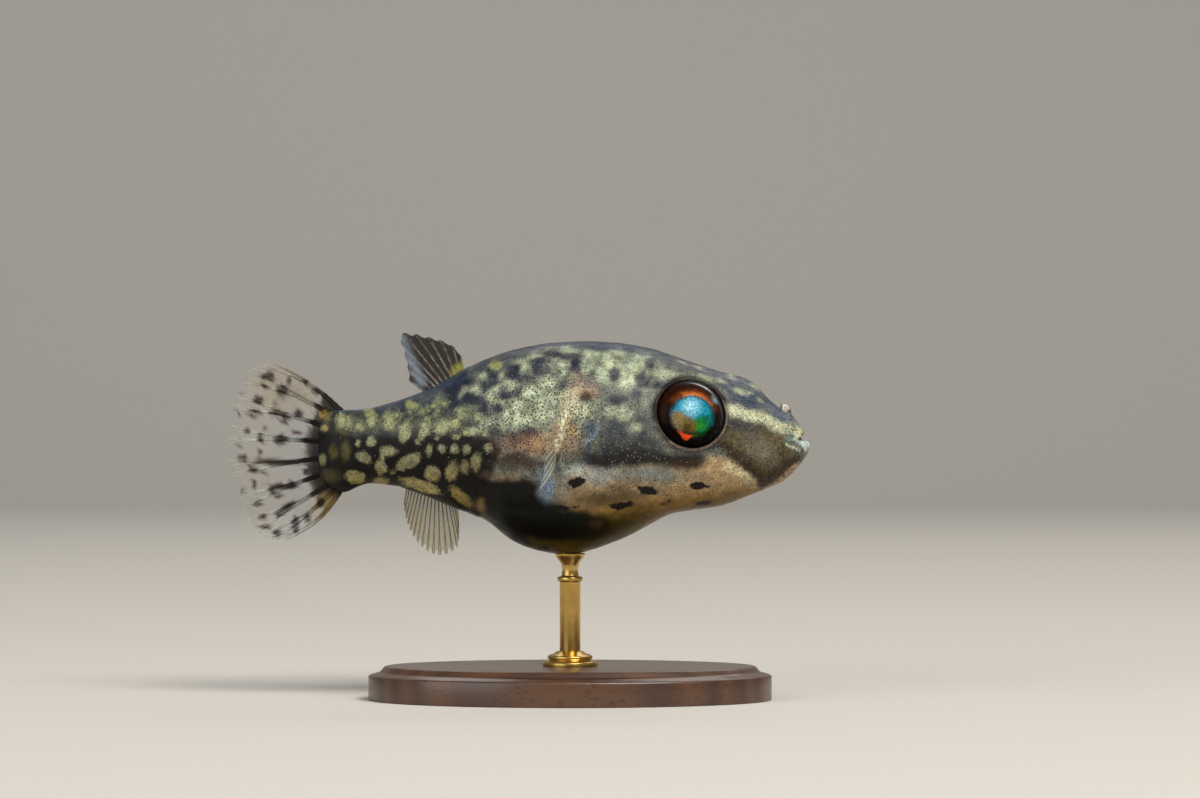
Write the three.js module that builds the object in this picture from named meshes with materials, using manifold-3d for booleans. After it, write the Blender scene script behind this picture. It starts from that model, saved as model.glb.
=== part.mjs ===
// A small freshwater pufferfish at life size: a still display model on a plain stand.
// Millimetres. The origin is the centre of the stand's underside. +X points to the snout,
// +Y to the fish's left side and +Z up.
//
// The body is one loft, parted by thin cuts into head, lower jaw, trunk and tail stalk.
// Its outline is given as an ichthyologist measures it: how far behind the snout, and how
// far above or below the body's axis, the line from the mouth to the middle of the tail.

import * as THREE from "three";
import { LoftGeometry } from "three/addons/geometries/LoftGeometry.js";
import { mergeVertices } from "three/addons/utils/BufferGeometryUtils.js";
import Module from "manifold-3d";

const wasm = await Module();
wasm.setup();

// ---- Driving dimensions ------------------------------------------------------------------

const SNOUT_X = 18.5; // the snout's place ahead of the stand's centre
const AXIS_HEIGHT = 19.2; // the body's axis above the floor
const BODY_LENGTH = 38.3; // snout to the fleshy end of the tail stalk
const GAP = 0.25; // between neighbouring pieces
const FIN_THICKNESS = 0.5;

// [mm behind the snout, mm above the axis]
const BACK = [
  [0, 0.55], // lips
  [0.3, 1.05],
  [0.6, 1.65],
  [0.95, 2.2],
  [1.61, 2.76],
  [2.76, 3.46], // dip behind the nostrils
  [3.3, 4.0],
  [3.92, 4.84],
  [4.68, 5.45], // brow
  [6.99, 6.07],
  [10.1, 7.14],
  [13.1, 8.06],
  [17.0, 8.45], // top of the back
  [20.8, 8.18],
  [23.9, 7.45],
  [27.0, 6.07],
  [28.5, 5.07], // behind the dorsal fin
  [31.6, 3.92],
  [34.6, 3.15], // slimmest part of the stalk
  [36.9, 3.15],
  [37.9, 2.3],
  [BODY_LENGTH, 1.2],
];

// [mm behind the snout, mm below the axis]
const BELLY = [
  [0, -0.45],
  [0.38, 0.61], // chin
  [0.84, 1.31],
  [1.61, 2.07],
  [2.38, 2.69],
  [3.92, 3.23],
  [6.99, 4.38],
  [10.1, 4.84],
  [11.2, 5.07], // where the throat meets the belly sac
  [12.4, 5.85],
  [14.7, 6.99],
  [17.7, 7.99],
  [19.3, 8.14], // lowest point of the belly sac
  [21.4, 7.7],
  [23.1, 6.99],
  [24.3, 6.1],
  [25.1, 5.25], // behind the belly sac
  [27.0, 4.68],
  [31.6, 2.92],
  [34.2, 2.61], // slimmest part of the stalk
  [36.0, 3.5], // lower corner of the tail's root
  [37.6, 2.6],
  [BODY_LENGTH, 1.3],
];

// [mm behind the snout, half the width in mm]
const HALF_WIDTH = [
  [0, 0.5],
  [0.3, 1.05],
  [0.84, 1.45],
  [1.61, 1.95],
  [3.3, 2.9],
  [5.8, 4.1],
  [8.5, 4.95],
  [13.1, 5.95],
  [18.5, 6.6], // at the pectoral fins
  [22.3, 6.2],
  [25.4, 5.1],
  [28.5, 3.95],
  [31.6, 2.85],
  [34.6, 1.9],
  [36.9, 1.1],
  [BODY_LENGTH, 0.5],
];

// [mm behind the snout, height of the widest line in mm above the axis]
const WIDEST = [
  [0, 0.5],
  [3.3, 0.6],
  [9.0, 0.9],
  [18.5, -0.4],
  [26.0, 0.2],
  [BODY_LENGTH, 0],
];

const SECTION_POWER = 2.15; // 2 is an ellipse, more is squarer
const STATIONS = 42;
const SECTION_SIDES = 28;

// The tail is swung to the fish's left: the sideways shift grows with the square of the way back.
const SWAY_START = 22.0; // mm behind the snout
const SWAY_END = 45.0;
const SWAY = 3.6; // at the tail fin's tips

const EYE = { behind: 9.45, up: 2.62, radius: 2.85, depth: 1.9, outFace: 5.85 };
const EYE_TURN_UP = THREE.MathUtils.degToRad(13);
const EYE_TURN_FORWARD = THREE.MathUtils.degToRad(13);

const GILL = { behind: 16.75, up: 1.3, arc: 3.4, width: 0.4, from: -0.62, to: 0.22, inFace: 5.4 };
const BEAK = { behind: 0.95, up: 0.62, length: 0.75, halfWidth: 0.7, halfHeight: 0.3 };
const NOSTRIL = { behind: 1.6, up: 2.65, out: 0.75, radius: 0.27, height: 1.1 };
const PECTORAL = { behind: 19.1, up: 0.8, out: 6.3, lean: 0.28, sweepRight: 0.2, sweepLeft: 0.4 };
const RAY_SIDES = 6;
const RIM_NOTCH = 0.06; // how far the web dips between two rays, as a share of their length

const STAND = { length: 31, width: 20, height: 2.6, edge: 0.4, rodRadius: 0.8, socketDepth: 1.4 };
const COLLAR = { radius: 2.1, height: 0.9 };

// ---- Materials ----------------------------------------------------------------------------

const skin = new THREE.MeshStandardMaterial({ color: 0x6f7363, roughness: 0.45 });
const jawSkin = new THREE.MeshStandardMaterial({ color: 0x6b6a60, roughness: 0.45 });
const finSkin = new THREE.MeshStandardMaterial({ color: 0xa39c82, roughness: 0.4 });
const eyeBlack = new THREE.MeshStandardMaterial({ color: 0x0d0a0b, roughness: 0.08 });
const ivory = new THREE.MeshStandardMaterial({ color: 0xd9dccb, roughness: 0.25 });
const walnut = new THREE.MeshStandardMaterial({ color: 0x3a2418, roughness: 0.45 });
const brass = new THREE.MeshStandardMaterial({ color: 0xb08d4a, roughness: 0.3, metalness: 1 });

// ---- Helpers ------------------------------------------------------------------------------

// A smooth curve through [x, y] knots that never swings past them (monotone cubic).
function along(knots, x) {
  const last = knots.length - 1;
  const place = THREE.MathUtils.clamp(x, knots[0][0], knots[last][0]);
  let i = 0;
  while (i < last - 1 && place > knots[i + 1][0]) i += 1;
  const slope = (j) => (knots[j + 1][1] - knots[j][1]) / (knots[j + 1][0] - knots[j][0]);
  const tangent = (j) => {
    if (j === 0) return slope(0);
    if (j === last) return slope(last - 1);
    const [before, after] = [slope(j - 1), slope(j)];
    return before * after <= 0 ? 0 : (2 * before * after) / (before + after);
  };
  const [[x0, y0], [x1, y1]] = [knots[i], knots[i + 1]];
  const span = x1 - x0;
  const t = (place - x0) / span;
  const rise = span * ((t ** 3 - 2 * t ** 2 + t) * tangent(i) + (t ** 3 - t ** 2) * tangent(i + 1));
  return y0 + (y1 - y0) * (3 * t ** 2 - 2 * t ** 3) + rise;
}

// A point of the side view, given behind the snout and above the axis.
function side(behind, up) {
  return new THREE.Vector2(SNOUT_X - behind, AXIS_HEIGHT + up);
}

// How far the swung tail lies to the left of the midline at x.
function swayAt(x) {
  const way = Math.max(0, SNOUT_X - x - SWAY_START) / (SWAY_END - SWAY_START);
  return SWAY * way ** 2;
}

function swayed(geometry) {
  const place = geometry.getAttribute("position");
  for (let i = 0; i < place.count; i += 1) {
    place.setY(i, place.getY(i) + swayAt(place.getX(i)));
  }
  return geometry;
}

function solidOf(geometry) {
  const bare = new THREE.BufferGeometry()
    .setAttribute("position", geometry.getAttribute("position"))
    .setIndex(geometry.getIndex());
  const merged = mergeVertices(bare, 1e-4);
  return new wasm.Manifold(
    new wasm.Mesh({
      numProp: 3,
      vertProperties: merged.getAttribute("position").array,
      triVerts: new Uint32Array(merged.index.array),
    }),
  );
}

function geometryOf(solid) {
  const { vertProperties, triVerts } = solid.getMesh();
  return new THREE.BufferGeometry()
    .setAttribute("position", new THREE.BufferAttribute(new Float32Array(vertProperties), 3))
    .setIndex(new THREE.BufferAttribute(new Uint32Array(triVerts), 1));
}

function piece(name, geometry, material) {
  const shown = geometry.toNonIndexed();
  shown.computeVertexNormals();
  const mesh = new THREE.Mesh(shown, material);
  mesh.name = name;
  return mesh;
}

// A flat outline of the side view, as a slab from low to high across the fish.
function slab(outline, low, high) {
  return new THREE.ExtrudeGeometry(outline, { depth: high - low, bevelEnabled: false, curveSegments: 3 })
    .rotateX(Math.PI / 2)
    .translate(0, high, 0);
}

// ---- Body ---------------------------------------------------------------------------------

const signedPower = (value, power) => Math.sign(value) * Math.abs(value) ** power;

// One ring of the body, grown outwards by the given margin.
function bodySection(behind, shifted, grow) {
  const widest = along(WIDEST, behind);
  const half = along(HALF_WIDTH, behind) + grow;
  const top = along(BACK, behind) - widest + grow;
  const bottom = along(BELLY, behind) + widest + grow;
  return Array.from({ length: SECTION_SIDES }, (_, i) => {
    const angle = (-2 * Math.PI * i) / SECTION_SIDES;
    const across = signedPower(Math.cos(angle), 2 / SECTION_POWER);
    const upright = signedPower(Math.sin(angle), 2 / SECTION_POWER);
    const height = widest + upright * (upright > 0 ? top : bottom);
    return new THREE.Vector3(SNOUT_X - shifted, half * across, AXIS_HEIGHT + height);
  });
}

// The whole body without fins. Its stations crowd towards both ends.
function bodyLoft(grow = 0) {
  const sections = [];
  for (let i = 0; i <= STATIONS; i += 1) {
    const share = (1 - Math.cos((Math.PI * i) / STATIONS)) / 2;
    const behind = share * BODY_LENGTH;
    sections.push(bodySection(behind, behind + grow * (2 * share - 1), grow));
  }
  return solidOf(new LoftGeometry(sections, { capStart: true, capEnd: true }));
}

// Everything ahead of the gill line, whose edge bulges backwards as the gill cover does.
function headRegion(shift) {
  const gillLine = new THREE.SplineCurve([
    side(14.6 + shift, -10),
    side(16.1 + shift, -3.5),
    side(16.4 + shift, 0.5),
    side(15.8 + shift, 5),
    side(14.6 + shift, 10),
  ]);
  const outline = new THREE.Shape([side(-5, -10), ...gillLine.getPoints(16), side(-5, 10)]);
  return solidOf(slab(outline, -12, 12));
}

// The tail stalk, behind the dorsal and anal fins.
function stalkRegion(shift) {
  const outline = new THREE.Shape([
    side(44, -8),
    side(31.7 + shift, -8),
    side(31.7 + shift, 8),
    side(44, 8),
  ]);
  return solidOf(slab(outline, -8, 8));
}

// The lower jaw: below the gape, and ahead of a slanting line from the mouth's corner to the chin.
function jawRegion(grow) {
  const outline = new THREE.Shape([
    side(-2, -7),
    side(3.1 + grow, -7),
    side(3.1 + grow, -3.4),
    side(1.5 + grow, 0.1 + grow),
    side(0.2, 0.68 + grow),
    side(-2, 1.3 + grow),
  ]);
  return solidOf(slab(outline, -6, 6));
}

function eyeball(sideSign, grow = 0) {
  const { behind, up, radius, depth, outFace } = EYE;
  return new THREE.SphereGeometry(1, 18, 11)
    .rotateX(Math.PI / 2)
    .scale(radius + grow, depth + grow, radius + grow)
    .rotateX(sideSign * EYE_TURN_UP)
    .rotateZ(-sideSign * EYE_TURN_FORWARD)
    .translate(SNOUT_X - behind, sideSign * (outFace - depth), AXIS_HEIGHT + up);
}

// The crescent of the gill opening, a slot in the body just ahead of each pectoral fin.
function gillOpening(sideSign) {
  const { behind, up, arc, width, from, to, inFace } = GILL;
  const centre = side(behind + arc, up);
  const outline = new THREE.Shape();
  outline.absarc(centre.x, centre.y, arc, from, to, false);
  outline.absarc(centre.x, centre.y, arc - width, to, from, true);
  outline.closePath();
  const cut = slab(outline, inFace, 9);
  return sideSign > 0 ? cut : cut.translate(0, -inFace - 9, 0);
}

// The two tooth plates, closed edge to edge as a beak.
function beak(grow = 0) {
  const { behind, up, length, halfWidth, halfHeight } = BEAK;
  const { x, y } = side(behind, up);
  return new THREE.SphereGeometry(1, 14, 8)
    .scale(length + grow, halfWidth + grow, halfHeight + grow)
    .translate(x, 0, y);
}

// A nostril is a short soft tube on the snout, joined to the head.
function nostril(sideSign) {
  const { behind, up, out, radius, height } = NOSTRIL;
  const { x, y } = side(behind, up);
  return new THREE.CylinderGeometry(radius * 0.8, radius, height, 10)
    .rotateX(Math.PI / 2)
    .rotateX(-sideSign * THREE.MathUtils.degToRad(25))
    .translate(x, sideSign * out, y);
}

function bodyPieces() {
  const whole = bodyLoft();
  const sockets = [-1, 1].map((sign) => solidOf(eyeball(sign, GAP)));
  const nostrils = [-1, 1].map((sign) => solidOf(nostril(sign)));
  const gills = [-1, 1].map((sign) => solidOf(gillOpening(sign)));
  const mouth = solidOf(beak(GAP));

  let head = whole.intersect(headRegion(0)).subtract(jawRegion(GAP)).subtract(mouth);
  nostrils.forEach((tube) => {
    head = head.add(tube);
  });
  sockets.forEach((socket) => {
    head = head.subtract(socket);
  });
  let trunk = whole.subtract(headRegion(GAP)).subtract(stalkRegion(-GAP));
  gills.forEach((gill) => {
    trunk = trunk.subtract(gill);
  });
  const jaw = whole.intersect(jawRegion(0)).subtract(mouth);
  const stalk = whole.intersect(stalkRegion(0));
  return [
    piece("head", swayed(geometryOf(head)), skin),
    piece("lower_jaw", geometryOf(jaw), jawSkin),
    piece("beak", beak(), ivory),
    piece("trunk", swayed(geometryOf(trunk)), skin),
    piece("tail_stalk", swayed(geometryOf(stalk)), skin),
    piece("eye_right", eyeball(-1), eyeBlack),
    piece("eye_left", eyeball(1), eyeBlack),
  ];
}

// ---- Fins ---------------------------------------------------------------------------------

// A fin in the plane y = 0: a web with a raised ray from the root to each point of the rim.
function fin({ rootFrom, rootTo, rim, rays, rayRadius, bulge = 0 }) {
  const curve = new THREE.SplineCurve(rim);
  const tips = Array.from({ length: rays }, (_, i) => curve.getPointAt(i / (rays - 1)));
  const roots = tips.map((_, i) => rootFrom.clone().lerp(rootTo, i / (rays - 1)));
  const outline = new THREE.Shape();
  outline.moveTo(roots[0].x, roots[0].y);
  const leading = bulged(roots[0], tips[0], bulge);
  outline.quadraticCurveTo(leading.x, leading.y, tips[0].x, tips[0].y);
  tips.slice(1).forEach((tip, i) => {
    const notch = tips[i].clone().add(tip).multiplyScalar(0.5).lerp(roots[i], RIM_NOTCH);
    outline.quadraticCurveTo(notch.x, notch.y, tip.x, tip.y);
  });
  const trailing = bulged(tips[rays - 1], roots[rays - 1], bulge);
  outline.quadraticCurveTo(trailing.x, trailing.y, roots[rays - 1].x, roots[rays - 1].y);
  let made = solidOf(slab(outline, -FIN_THICKNESS / 2, FIN_THICKNESS / 2));
  tips.forEach((tip, i) => {
    made = made.add(solidOf(ray(roots[i], tip, rayRadius)));
  });
  return made;
}

// The middle of a fin's edge, pushed outwards: to the right of the way round the fin.
function bulged(from, to, amount) {
  const way = to.clone().sub(from).normalize();
  const middle = from.clone().lerp(to, 0.5);
  return middle.add(new THREE.Vector2(way.y, -way.x).multiplyScalar(amount));
}

// A bony ray, thinner towards its tip, which stops just short of the rim.
function ray(root, tip, radius) {
  const end = root.clone().lerp(tip, 0.97);
  const length = root.distanceTo(end);
  const angle = Math.atan2(end.y - root.y, end.x - root.x);
  const middle = root.clone().lerp(end, 0.5);
  return new THREE.CylinderGeometry(radius * 0.75, radius, length, RAY_SIDES)
    .rotateZ(-Math.PI / 2)
    .rotateY(-angle)
    .translate(middle.x, 0, middle.y);
}

const sidePoints = (points) => points.map(([behind, up]) => side(behind, up));

// The single fins of the midline, each cut back from the body and swung with the tail.
function midlineFins(grownBody) {
  const fins = {
    caudal_fin: {
      rootFrom: side(35.9, 2.7),
      rootTo: side(36.2, -3.1),
      rim: sidePoints([
        [42.4, 6.95],
        [43.8, 5.6],
        [44.6, 3.6],
        [45.0, 0.6],
        [44.8, -2.2],
        [43.8, -5.1],
        [42.3, -6.7],
        [40.5, -7.0],
      ]),
      rays: 11,
      rayRadius: 0.36,
      bulge: 1.1,
    },
    dorsal_fin: {
      rootFrom: side(26.5, 5.9),
      rootTo: side(28.9, 4.2),
      rim: sidePoints([
        [26.9, 7.2],
        [27.7, 8.1],
        [29.3, 8.65],
        [31.5, 8.95],
        [31.3, 7.6],
        [31.0, 6.3],
        [30.9, 5.35],
      ]),
      rays: 10,
      rayRadius: 0.34,
    },
    anal_fin: {
      rootFrom: side(27.2, -4.1),
      rootTo: side(31.0, -2.6),
      rim: sidePoints([
        [27.05, -5.9],
        [27.2, -7.5],
        [28.5, -8.1],
        [29.7, -7.6],
        [30.6, -6.6],
        [31.1, -5.4],
        [31.3, -4.2],
      ]),
      rays: 9,
      rayRadius: 0.34,
    },
  };
  return Object.entries(fins).map(([name, shape]) => {
    const cut = fin(shape).subtract(grownBody);
    return piece(name, swayed(geometryOf(cut)), finSkin);
  });
}

// The paired fins stand out from the flanks, their upper edges leaning forwards.
function pectoralFin(name, sideSign, sweep, grownBody) {
  const flat = fin({
    rootFrom: new THREE.Vector2(-1.2, 1.3),
    rootTo: new THREE.Vector2(-1.2, -1.3),
    rim: [
      new THREE.Vector2(3.1, 3.9),
      new THREE.Vector2(4.5, 2.8),
      new THREE.Vector2(5.1, 0.8),
      new THREE.Vector2(4.9, -1.4),
      new THREE.Vector2(3.9, -3.3),
      new THREE.Vector2(2.7, -3.9),
    ],
    rays: 11,
    rayRadius: 0.33,
  });
  const { behind, up, out, lean } = PECTORAL;
  const { x, y } = side(behind, up);
  const placed = geometryOf(flat)
    .rotateX(sideSign * lean)
    .rotateZ(sideSign * (Math.PI / 2 + sweep))
    .translate(x, sideSign * out, y);
  return piece(name, geometryOf(solidOf(placed).subtract(grownBody)), finSkin);
}

// ---- Stand --------------------------------------------------------------------------------

// An oval plate with eased edges and a blind hole for the rod.
function standBase() {
  const { length, width, height, edge, rodRadius, socketDepth } = STAND;
  const half = width / 2;
  const profile = [
    [0, 0],
    [half - edge, 0],
    [half, edge],
    [half, height - edge],
    [half - edge, height],
    [rodRadius + GAP, height],
    [rodRadius + GAP, height - socketDepth],
    [0, height - socketDepth],
  ].map(([radius, up]) => new THREE.Vector2(radius, up));
  const round = new THREE.LatheGeometry(profile, 36).rotateX(Math.PI / 2);
  const place = round.getAttribute("position");
  for (let i = 0; i < place.count; i += 1) {
    const reach = Math.hypot(place.getX(i), place.getY(i));
    const stretch = reach > COLLAR.radius ? length / width : 1;
    place.setX(i, place.getX(i) * stretch);
  }
  return piece("stand_base", round, walnut);
}

function standRod(grownBody) {
  const { height, rodRadius, socketDepth } = STAND;
  const foot = height - socketDepth + GAP;
  const tall = AXIS_HEIGHT - foot;
  const rod = new THREE.CylinderGeometry(rodRadius, rodRadius, tall, 24)
    .rotateX(Math.PI / 2)
    .translate(0, 0, foot + tall / 2);
  const pieces = solidOf(rod).subtract(grownBody).decompose();
  const lowest = pieces.reduce((a, b) => (a.boundingBox().min[2] < b.boundingBox().min[2] ? a : b));
  return piece("stand_rod", geometryOf(lowest), brass);
}

function standCollar() {
  const { radius, height } = COLLAR;
  const bore = STAND.rodRadius + GAP;
  const foot = STAND.height + GAP;
  const profile = [
    [bore, foot],
    [radius, foot],
    [radius, foot + height / 2],
    [radius - 0.5, foot + height],
    [bore, foot + height],
    [bore, foot],
  ].map(([reach, up]) => new THREE.Vector2(reach, up));
  return piece("stand_collar", new THREE.LatheGeometry(profile, 20).rotateX(Math.PI / 2), brass);
}

// ---- The whole model ------------------------------------------------------------------------

const pufferfish = new THREE.Group();
const grownBody = bodyLoft(GAP);
pufferfish.add(...bodyPieces());
pufferfish.add(...midlineFins(grownBody));
pufferfish.add(pectoralFin("pectoral_fin_right", -1, PECTORAL.sweepRight, grownBody));
pufferfish.add(pectoralFin("pectoral_fin_left", 1, PECTORAL.sweepLeft, grownBody));
pufferfish.add(standBase(), standRod(grownBody), standCollar());

export default pufferfish;
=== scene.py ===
# %% [markdown]
# # A small freshwater pufferfish on a display stand
# The fish is 45 mm long and swims level, held by a brass rod over an oval walnut plate.
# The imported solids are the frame: they say where each part of the fish is and how big it is.
# Everything here is in metres in that same frame, +X to the snout, +Y to the fish's left.

# %% Load the frame
import math
import random

import bmesh
import bpy
import numpy as np
from mathutils import Matrix, Vector, noise
from mathutils.bvhtree import BVHTree


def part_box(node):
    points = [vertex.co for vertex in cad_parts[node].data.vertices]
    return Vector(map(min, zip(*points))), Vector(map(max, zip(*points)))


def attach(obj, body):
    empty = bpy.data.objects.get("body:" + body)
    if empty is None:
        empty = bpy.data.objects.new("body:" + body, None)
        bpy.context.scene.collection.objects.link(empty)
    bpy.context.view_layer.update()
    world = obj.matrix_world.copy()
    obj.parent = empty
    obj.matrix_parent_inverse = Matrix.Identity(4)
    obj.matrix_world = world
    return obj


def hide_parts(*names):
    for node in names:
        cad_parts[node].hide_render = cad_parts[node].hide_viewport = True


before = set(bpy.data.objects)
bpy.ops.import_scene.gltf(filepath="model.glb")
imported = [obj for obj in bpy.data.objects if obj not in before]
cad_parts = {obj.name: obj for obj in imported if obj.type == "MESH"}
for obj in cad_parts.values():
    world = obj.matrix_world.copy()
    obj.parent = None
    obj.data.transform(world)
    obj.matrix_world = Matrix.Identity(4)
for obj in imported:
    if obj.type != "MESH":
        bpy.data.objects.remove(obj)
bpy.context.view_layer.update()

MM = 0.001

# %% [markdown]
# A fish is measured as an ichthyologist does it: how many millimetres a point lies behind the
# snout, and how many above or below the body's axis, the line from the mouth to the middle of
# the tail. The lower jaw's solid gives the snout and the beak's solid gives the axis.

# %% Places on the fish
BEAK_ABOVE_AXIS = 0.62 * MM
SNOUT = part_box("lower_jaw")[1][0]
beak_low, beak_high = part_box("beak")
AXIS = (beak_low[2] + beak_high[2]) / 2 - BEAK_ABOVE_AXIS
RIGHT = -1
LEFT = 1


def on_fish(behind, above, across=0.0):
    """A point given in millimetres behind the snout, above the axis and to the left."""
    return Vector((SNOUT - behind * MM, across * MM, AXIS + above * MM))


print(f"snout at x {SNOUT / MM:.2f} mm, axis {AXIS / MM:.2f} mm above the floor")

# %% [markdown]
# Blender's operators act on whatever is selected, and loading leaves the solids selected. So
# each new piece starts from a clean selection. In edit mode the mesh is read and moved through
# bmesh, which keeps the operators' selection.

# %% Small tools for selecting and editing
def deselect():
    """Nothing stays selected or active."""
    if bpy.context.mode != "OBJECT":
        bpy.ops.object.mode_set(mode="OBJECT")
    bpy.ops.object.select_all(action="DESELECT")


def choose(*objects):
    """These objects alone are selected, and the first is active."""
    deselect()
    for each in objects:
        each.select_set(True)
    bpy.context.view_layer.objects.active = objects[0]


def named(title):
    """Names the object that an operator has just added."""
    made = bpy.context.active_object
    made.name = title
    made.data.name = title
    return made


def edit(piece):
    """Opens a piece in edit mode with nothing selected, and gives its mesh."""
    choose(piece)
    bpy.ops.object.mode_set(mode="EDIT")
    bpy.ops.mesh.select_all(action="DESELECT")
    return bmesh.from_edit_mesh(piece.data)


def one_point(title):
    """A new piece of a single point, selected in edit mode, to be extruded."""
    deselect()
    bpy.ops.mesh.primitive_plane_add(size=MM)
    piece = named(title)
    edit(piece)
    bpy.ops.mesh.select_all(action="SELECT")
    bpy.ops.mesh.merge(type="CENTER")
    return piece


def select_open_edges():
    """Selects the edges round the holes in the mesh being edited."""
    bpy.ops.mesh.select_all(action="DESELECT")
    bpy.ops.mesh.select_non_manifold()


def close(piece):
    """Back to object mode, with every face turned outwards."""
    bmesh.update_edit_mesh(piece.data)
    bpy.ops.mesh.select_all(action="SELECT")
    bpy.ops.mesh.normals_make_consistent(inside=False)
    bpy.ops.object.mode_set(mode="OBJECT")


def settle(piece):
    """Moves a piece's place, turn and size into its mesh."""
    choose(piece)
    bpy.ops.object.transform_apply(location=True, rotation=True, scale=True)


def finish_with(piece, kind, **settings):
    """Adds a modifier, sets it and applies it."""
    choose(piece)
    modifier = piece.modifiers.new(kind.title(), kind)
    for key, value in settings.items():
        setattr(modifier, key, value)
    bpy.ops.object.modifier_apply(modifier=modifier.name)


# %% [markdown]
# ## A clay of the body
# On the real fish the head, jaw, trunk and tail stalk are one skin over muscle, with no joint
# to be seen. The frame has them as four solids with thin cuts between, so a skin can't simply
# be laid on them. As a sculptor would, we first press them into one lump of clay: the solids
# are copied, swollen until the cuts close, remade as one voxel surface, smoothed, and shrunk
# back by a little more than they were swollen. The eyeballs are pressed in too, so that the
# clay has no holes. The clay is only a thing to measure, and is thrown away afterwards.

# %% Press the solids into one lump
FLESH = ["head", "lower_jaw", "trunk", "tail_stalk"]
SWELL = 0.17 * MM
SKIN_UNDER = 0.03 * MM
VOXEL = 0.14 * MM


def clay_of(names):
    """One closed, smooth surface over the named solids, a little under their own."""
    copies = []
    for name in names:
        copy = bpy.data.objects.new("clay_" + name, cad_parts[name].data.copy())
        bpy.context.scene.collection.objects.link(copy)
        edit(copy)
        bpy.ops.mesh.select_all(action="SELECT")
        bpy.ops.mesh.remove_doubles(threshold=0.001 * MM)
        bpy.ops.object.mode_set(mode="OBJECT")
        copies.append(copy)
    choose(*copies)
    bpy.ops.object.join()
    clay = named("clay")
    finish_with(clay, "DISPLACE", strength=SWELL, mid_level=0.0)
    finish_with(clay, "REMESH", mode="VOXEL", voxel_size=VOXEL)
    finish_with(clay, "SMOOTH", factor=0.5, iterations=10)
    finish_with(clay, "DISPLACE", strength=-SWELL - SKIN_UNDER, mid_level=0.0)
    return clay


clay = clay_of(FLESH + ["eye_right", "eye_left"])
shape = BVHTree.FromObject(clay, bpy.context.evaluated_depsgraph_get())
print("clay faces:", len(clay.data.polygons))

# %% [markdown]
# The clay is measured as with callipers. At any station along the fish, four rays find the
# body's top, bottom and sides, which give the middle of the ring. Then one ray for each spoke
# runs out from that middle to the clay's surface.

# %% Callipers
SPOKES = 48
FAR = 1.0
FIRST_GUESS = 0.3        # mm above the axis


def reach(start, way):
    """The first point of the clay that a ray from far outside meets on its way to start."""
    way = way.normalized()
    hit = shape.ray_cast(start + way * FAR, -way, 2 * FAR)[0]
    return hit if hit else start


def measure(behind):
    """The middle of the body at a station, and half its width and height there."""
    across = Vector((0, 1, 0))
    upwards = Vector((0, 0, 1))
    middle = on_fish(behind, FIRST_GUESS)
    for _ in range(2):
        left = reach(middle, across)
        right = reach(middle, -across)
        middle.y = (left.y + right.y) / 2
        top = reach(middle, upwards)
        bottom = reach(middle, -upwards)
        middle.z = (top.z + bottom.z) / 2
    return middle, (left.y - right.y) / 2, (top.z - bottom.z) / 2


def spoke_angle(spoke):
    return 2 * math.pi * spoke / SPOKES


def body_ring(behind):
    """The clay's surface at a station, one point for each spoke, from the left side upwards."""
    middle, half_width, half_height = measure(behind)
    turns = [spoke_angle(spoke) for spoke in range(SPOKES)]
    ways = [Vector((0, half_width * math.cos(turn), half_height * math.sin(turn))) for turn in turns]
    return [reach(middle, way) for way in ways]


for behind in (5, 10, 20, 30, 36):
    middle, half_width, half_height = measure(behind)
    print(f"{behind} mm behind the snout: {2 * half_width / MM:.2f} wide, {2 * half_height / MM:.2f} high")

# %% [markdown]
# ## Skin
# A puffer has no scales: its skin is a smooth sleeve from lip to tail. A sleeve is a tube, so
# the skin starts as a circle of 48 points inside the mouth. The circle's edge is extruded from
# ring to ring, over the lips and back along the body, each ring placed on the clay, and
# both ends are closed to a point. One extruded tube keeps the edge loops running round the
# body as the muscles do, which a remeshed sculpt would lose, and the rings can be put close
# together where the head needs them.
#
# The lips aren't on the clay. Each of their rings is a slanting ellipse, because the lower jaw
# juts out past the upper lip, and its sides are set back to make the corners of the mouth.

# %% Rings of the mouth
# top: behind, above; bottom: behind, above; half the width; how far the corners are set back
LIP_RINGS = [
    ((2.10, 0.88), (2.00, 0.72), 0.25, 0.0),
    ((1.20, 0.95), (1.00, 0.62), 0.55, 0.1),
    ((0.75, 0.98), (0.42, 0.70), 0.66, 0.3),
    ((0.58, 1.10), (0.16, 0.62), 0.78, 0.45),
    ((0.50, 1.34), (0.02, 0.40), 0.92, 0.5),
    ((0.56, 1.60), (0.07, 0.10), 1.06, 0.45),
    ((0.74, 1.84), (0.22, -0.28), 1.17, 0.35),
    ((0.92, 2.08), (0.42, -0.62), 1.30, 0.2),
    ((1.16, 2.34), (0.74, -1.10), 1.50, 0.1),
]
FIRST_STATION = 1.45


def lip_ring(top, bottom, half_width, set_back):
    """A slanting ellipse whose sides are set back, one point for each spoke."""
    ring = []
    for spoke in range(SPOKES):
        turn = spoke_angle(spoke)
        rise = (1 + math.sin(turn)) / 2
        behind = bottom[0] + (top[0] - bottom[0]) * rise + set_back * math.cos(turn) ** 2
        above = bottom[1] + (top[1] - bottom[1]) * rise
        ring.append(on_fish(behind, above, half_width * math.cos(turn)))
    return ring


# %% Stations along the body
LAST_STATION = 37.9
HEAD_STEP = 0.5
BODY_STEP = 0.64
WIDEN_FROM = 11.0
WIDEN_OVER = 4.0


def stations():
    """Stations from the snout to the tail, closer together on the head."""
    places = [FIRST_STATION]
    while places[-1] < LAST_STATION - BODY_STEP:
        past_head = np.clip((places[-1] - WIDEN_FROM) / WIDEN_OVER, 0, 1)
        places.append(places[-1] + HEAD_STEP + (BODY_STEP - HEAD_STEP) * past_head)
    return places + [LAST_STATION]


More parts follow.
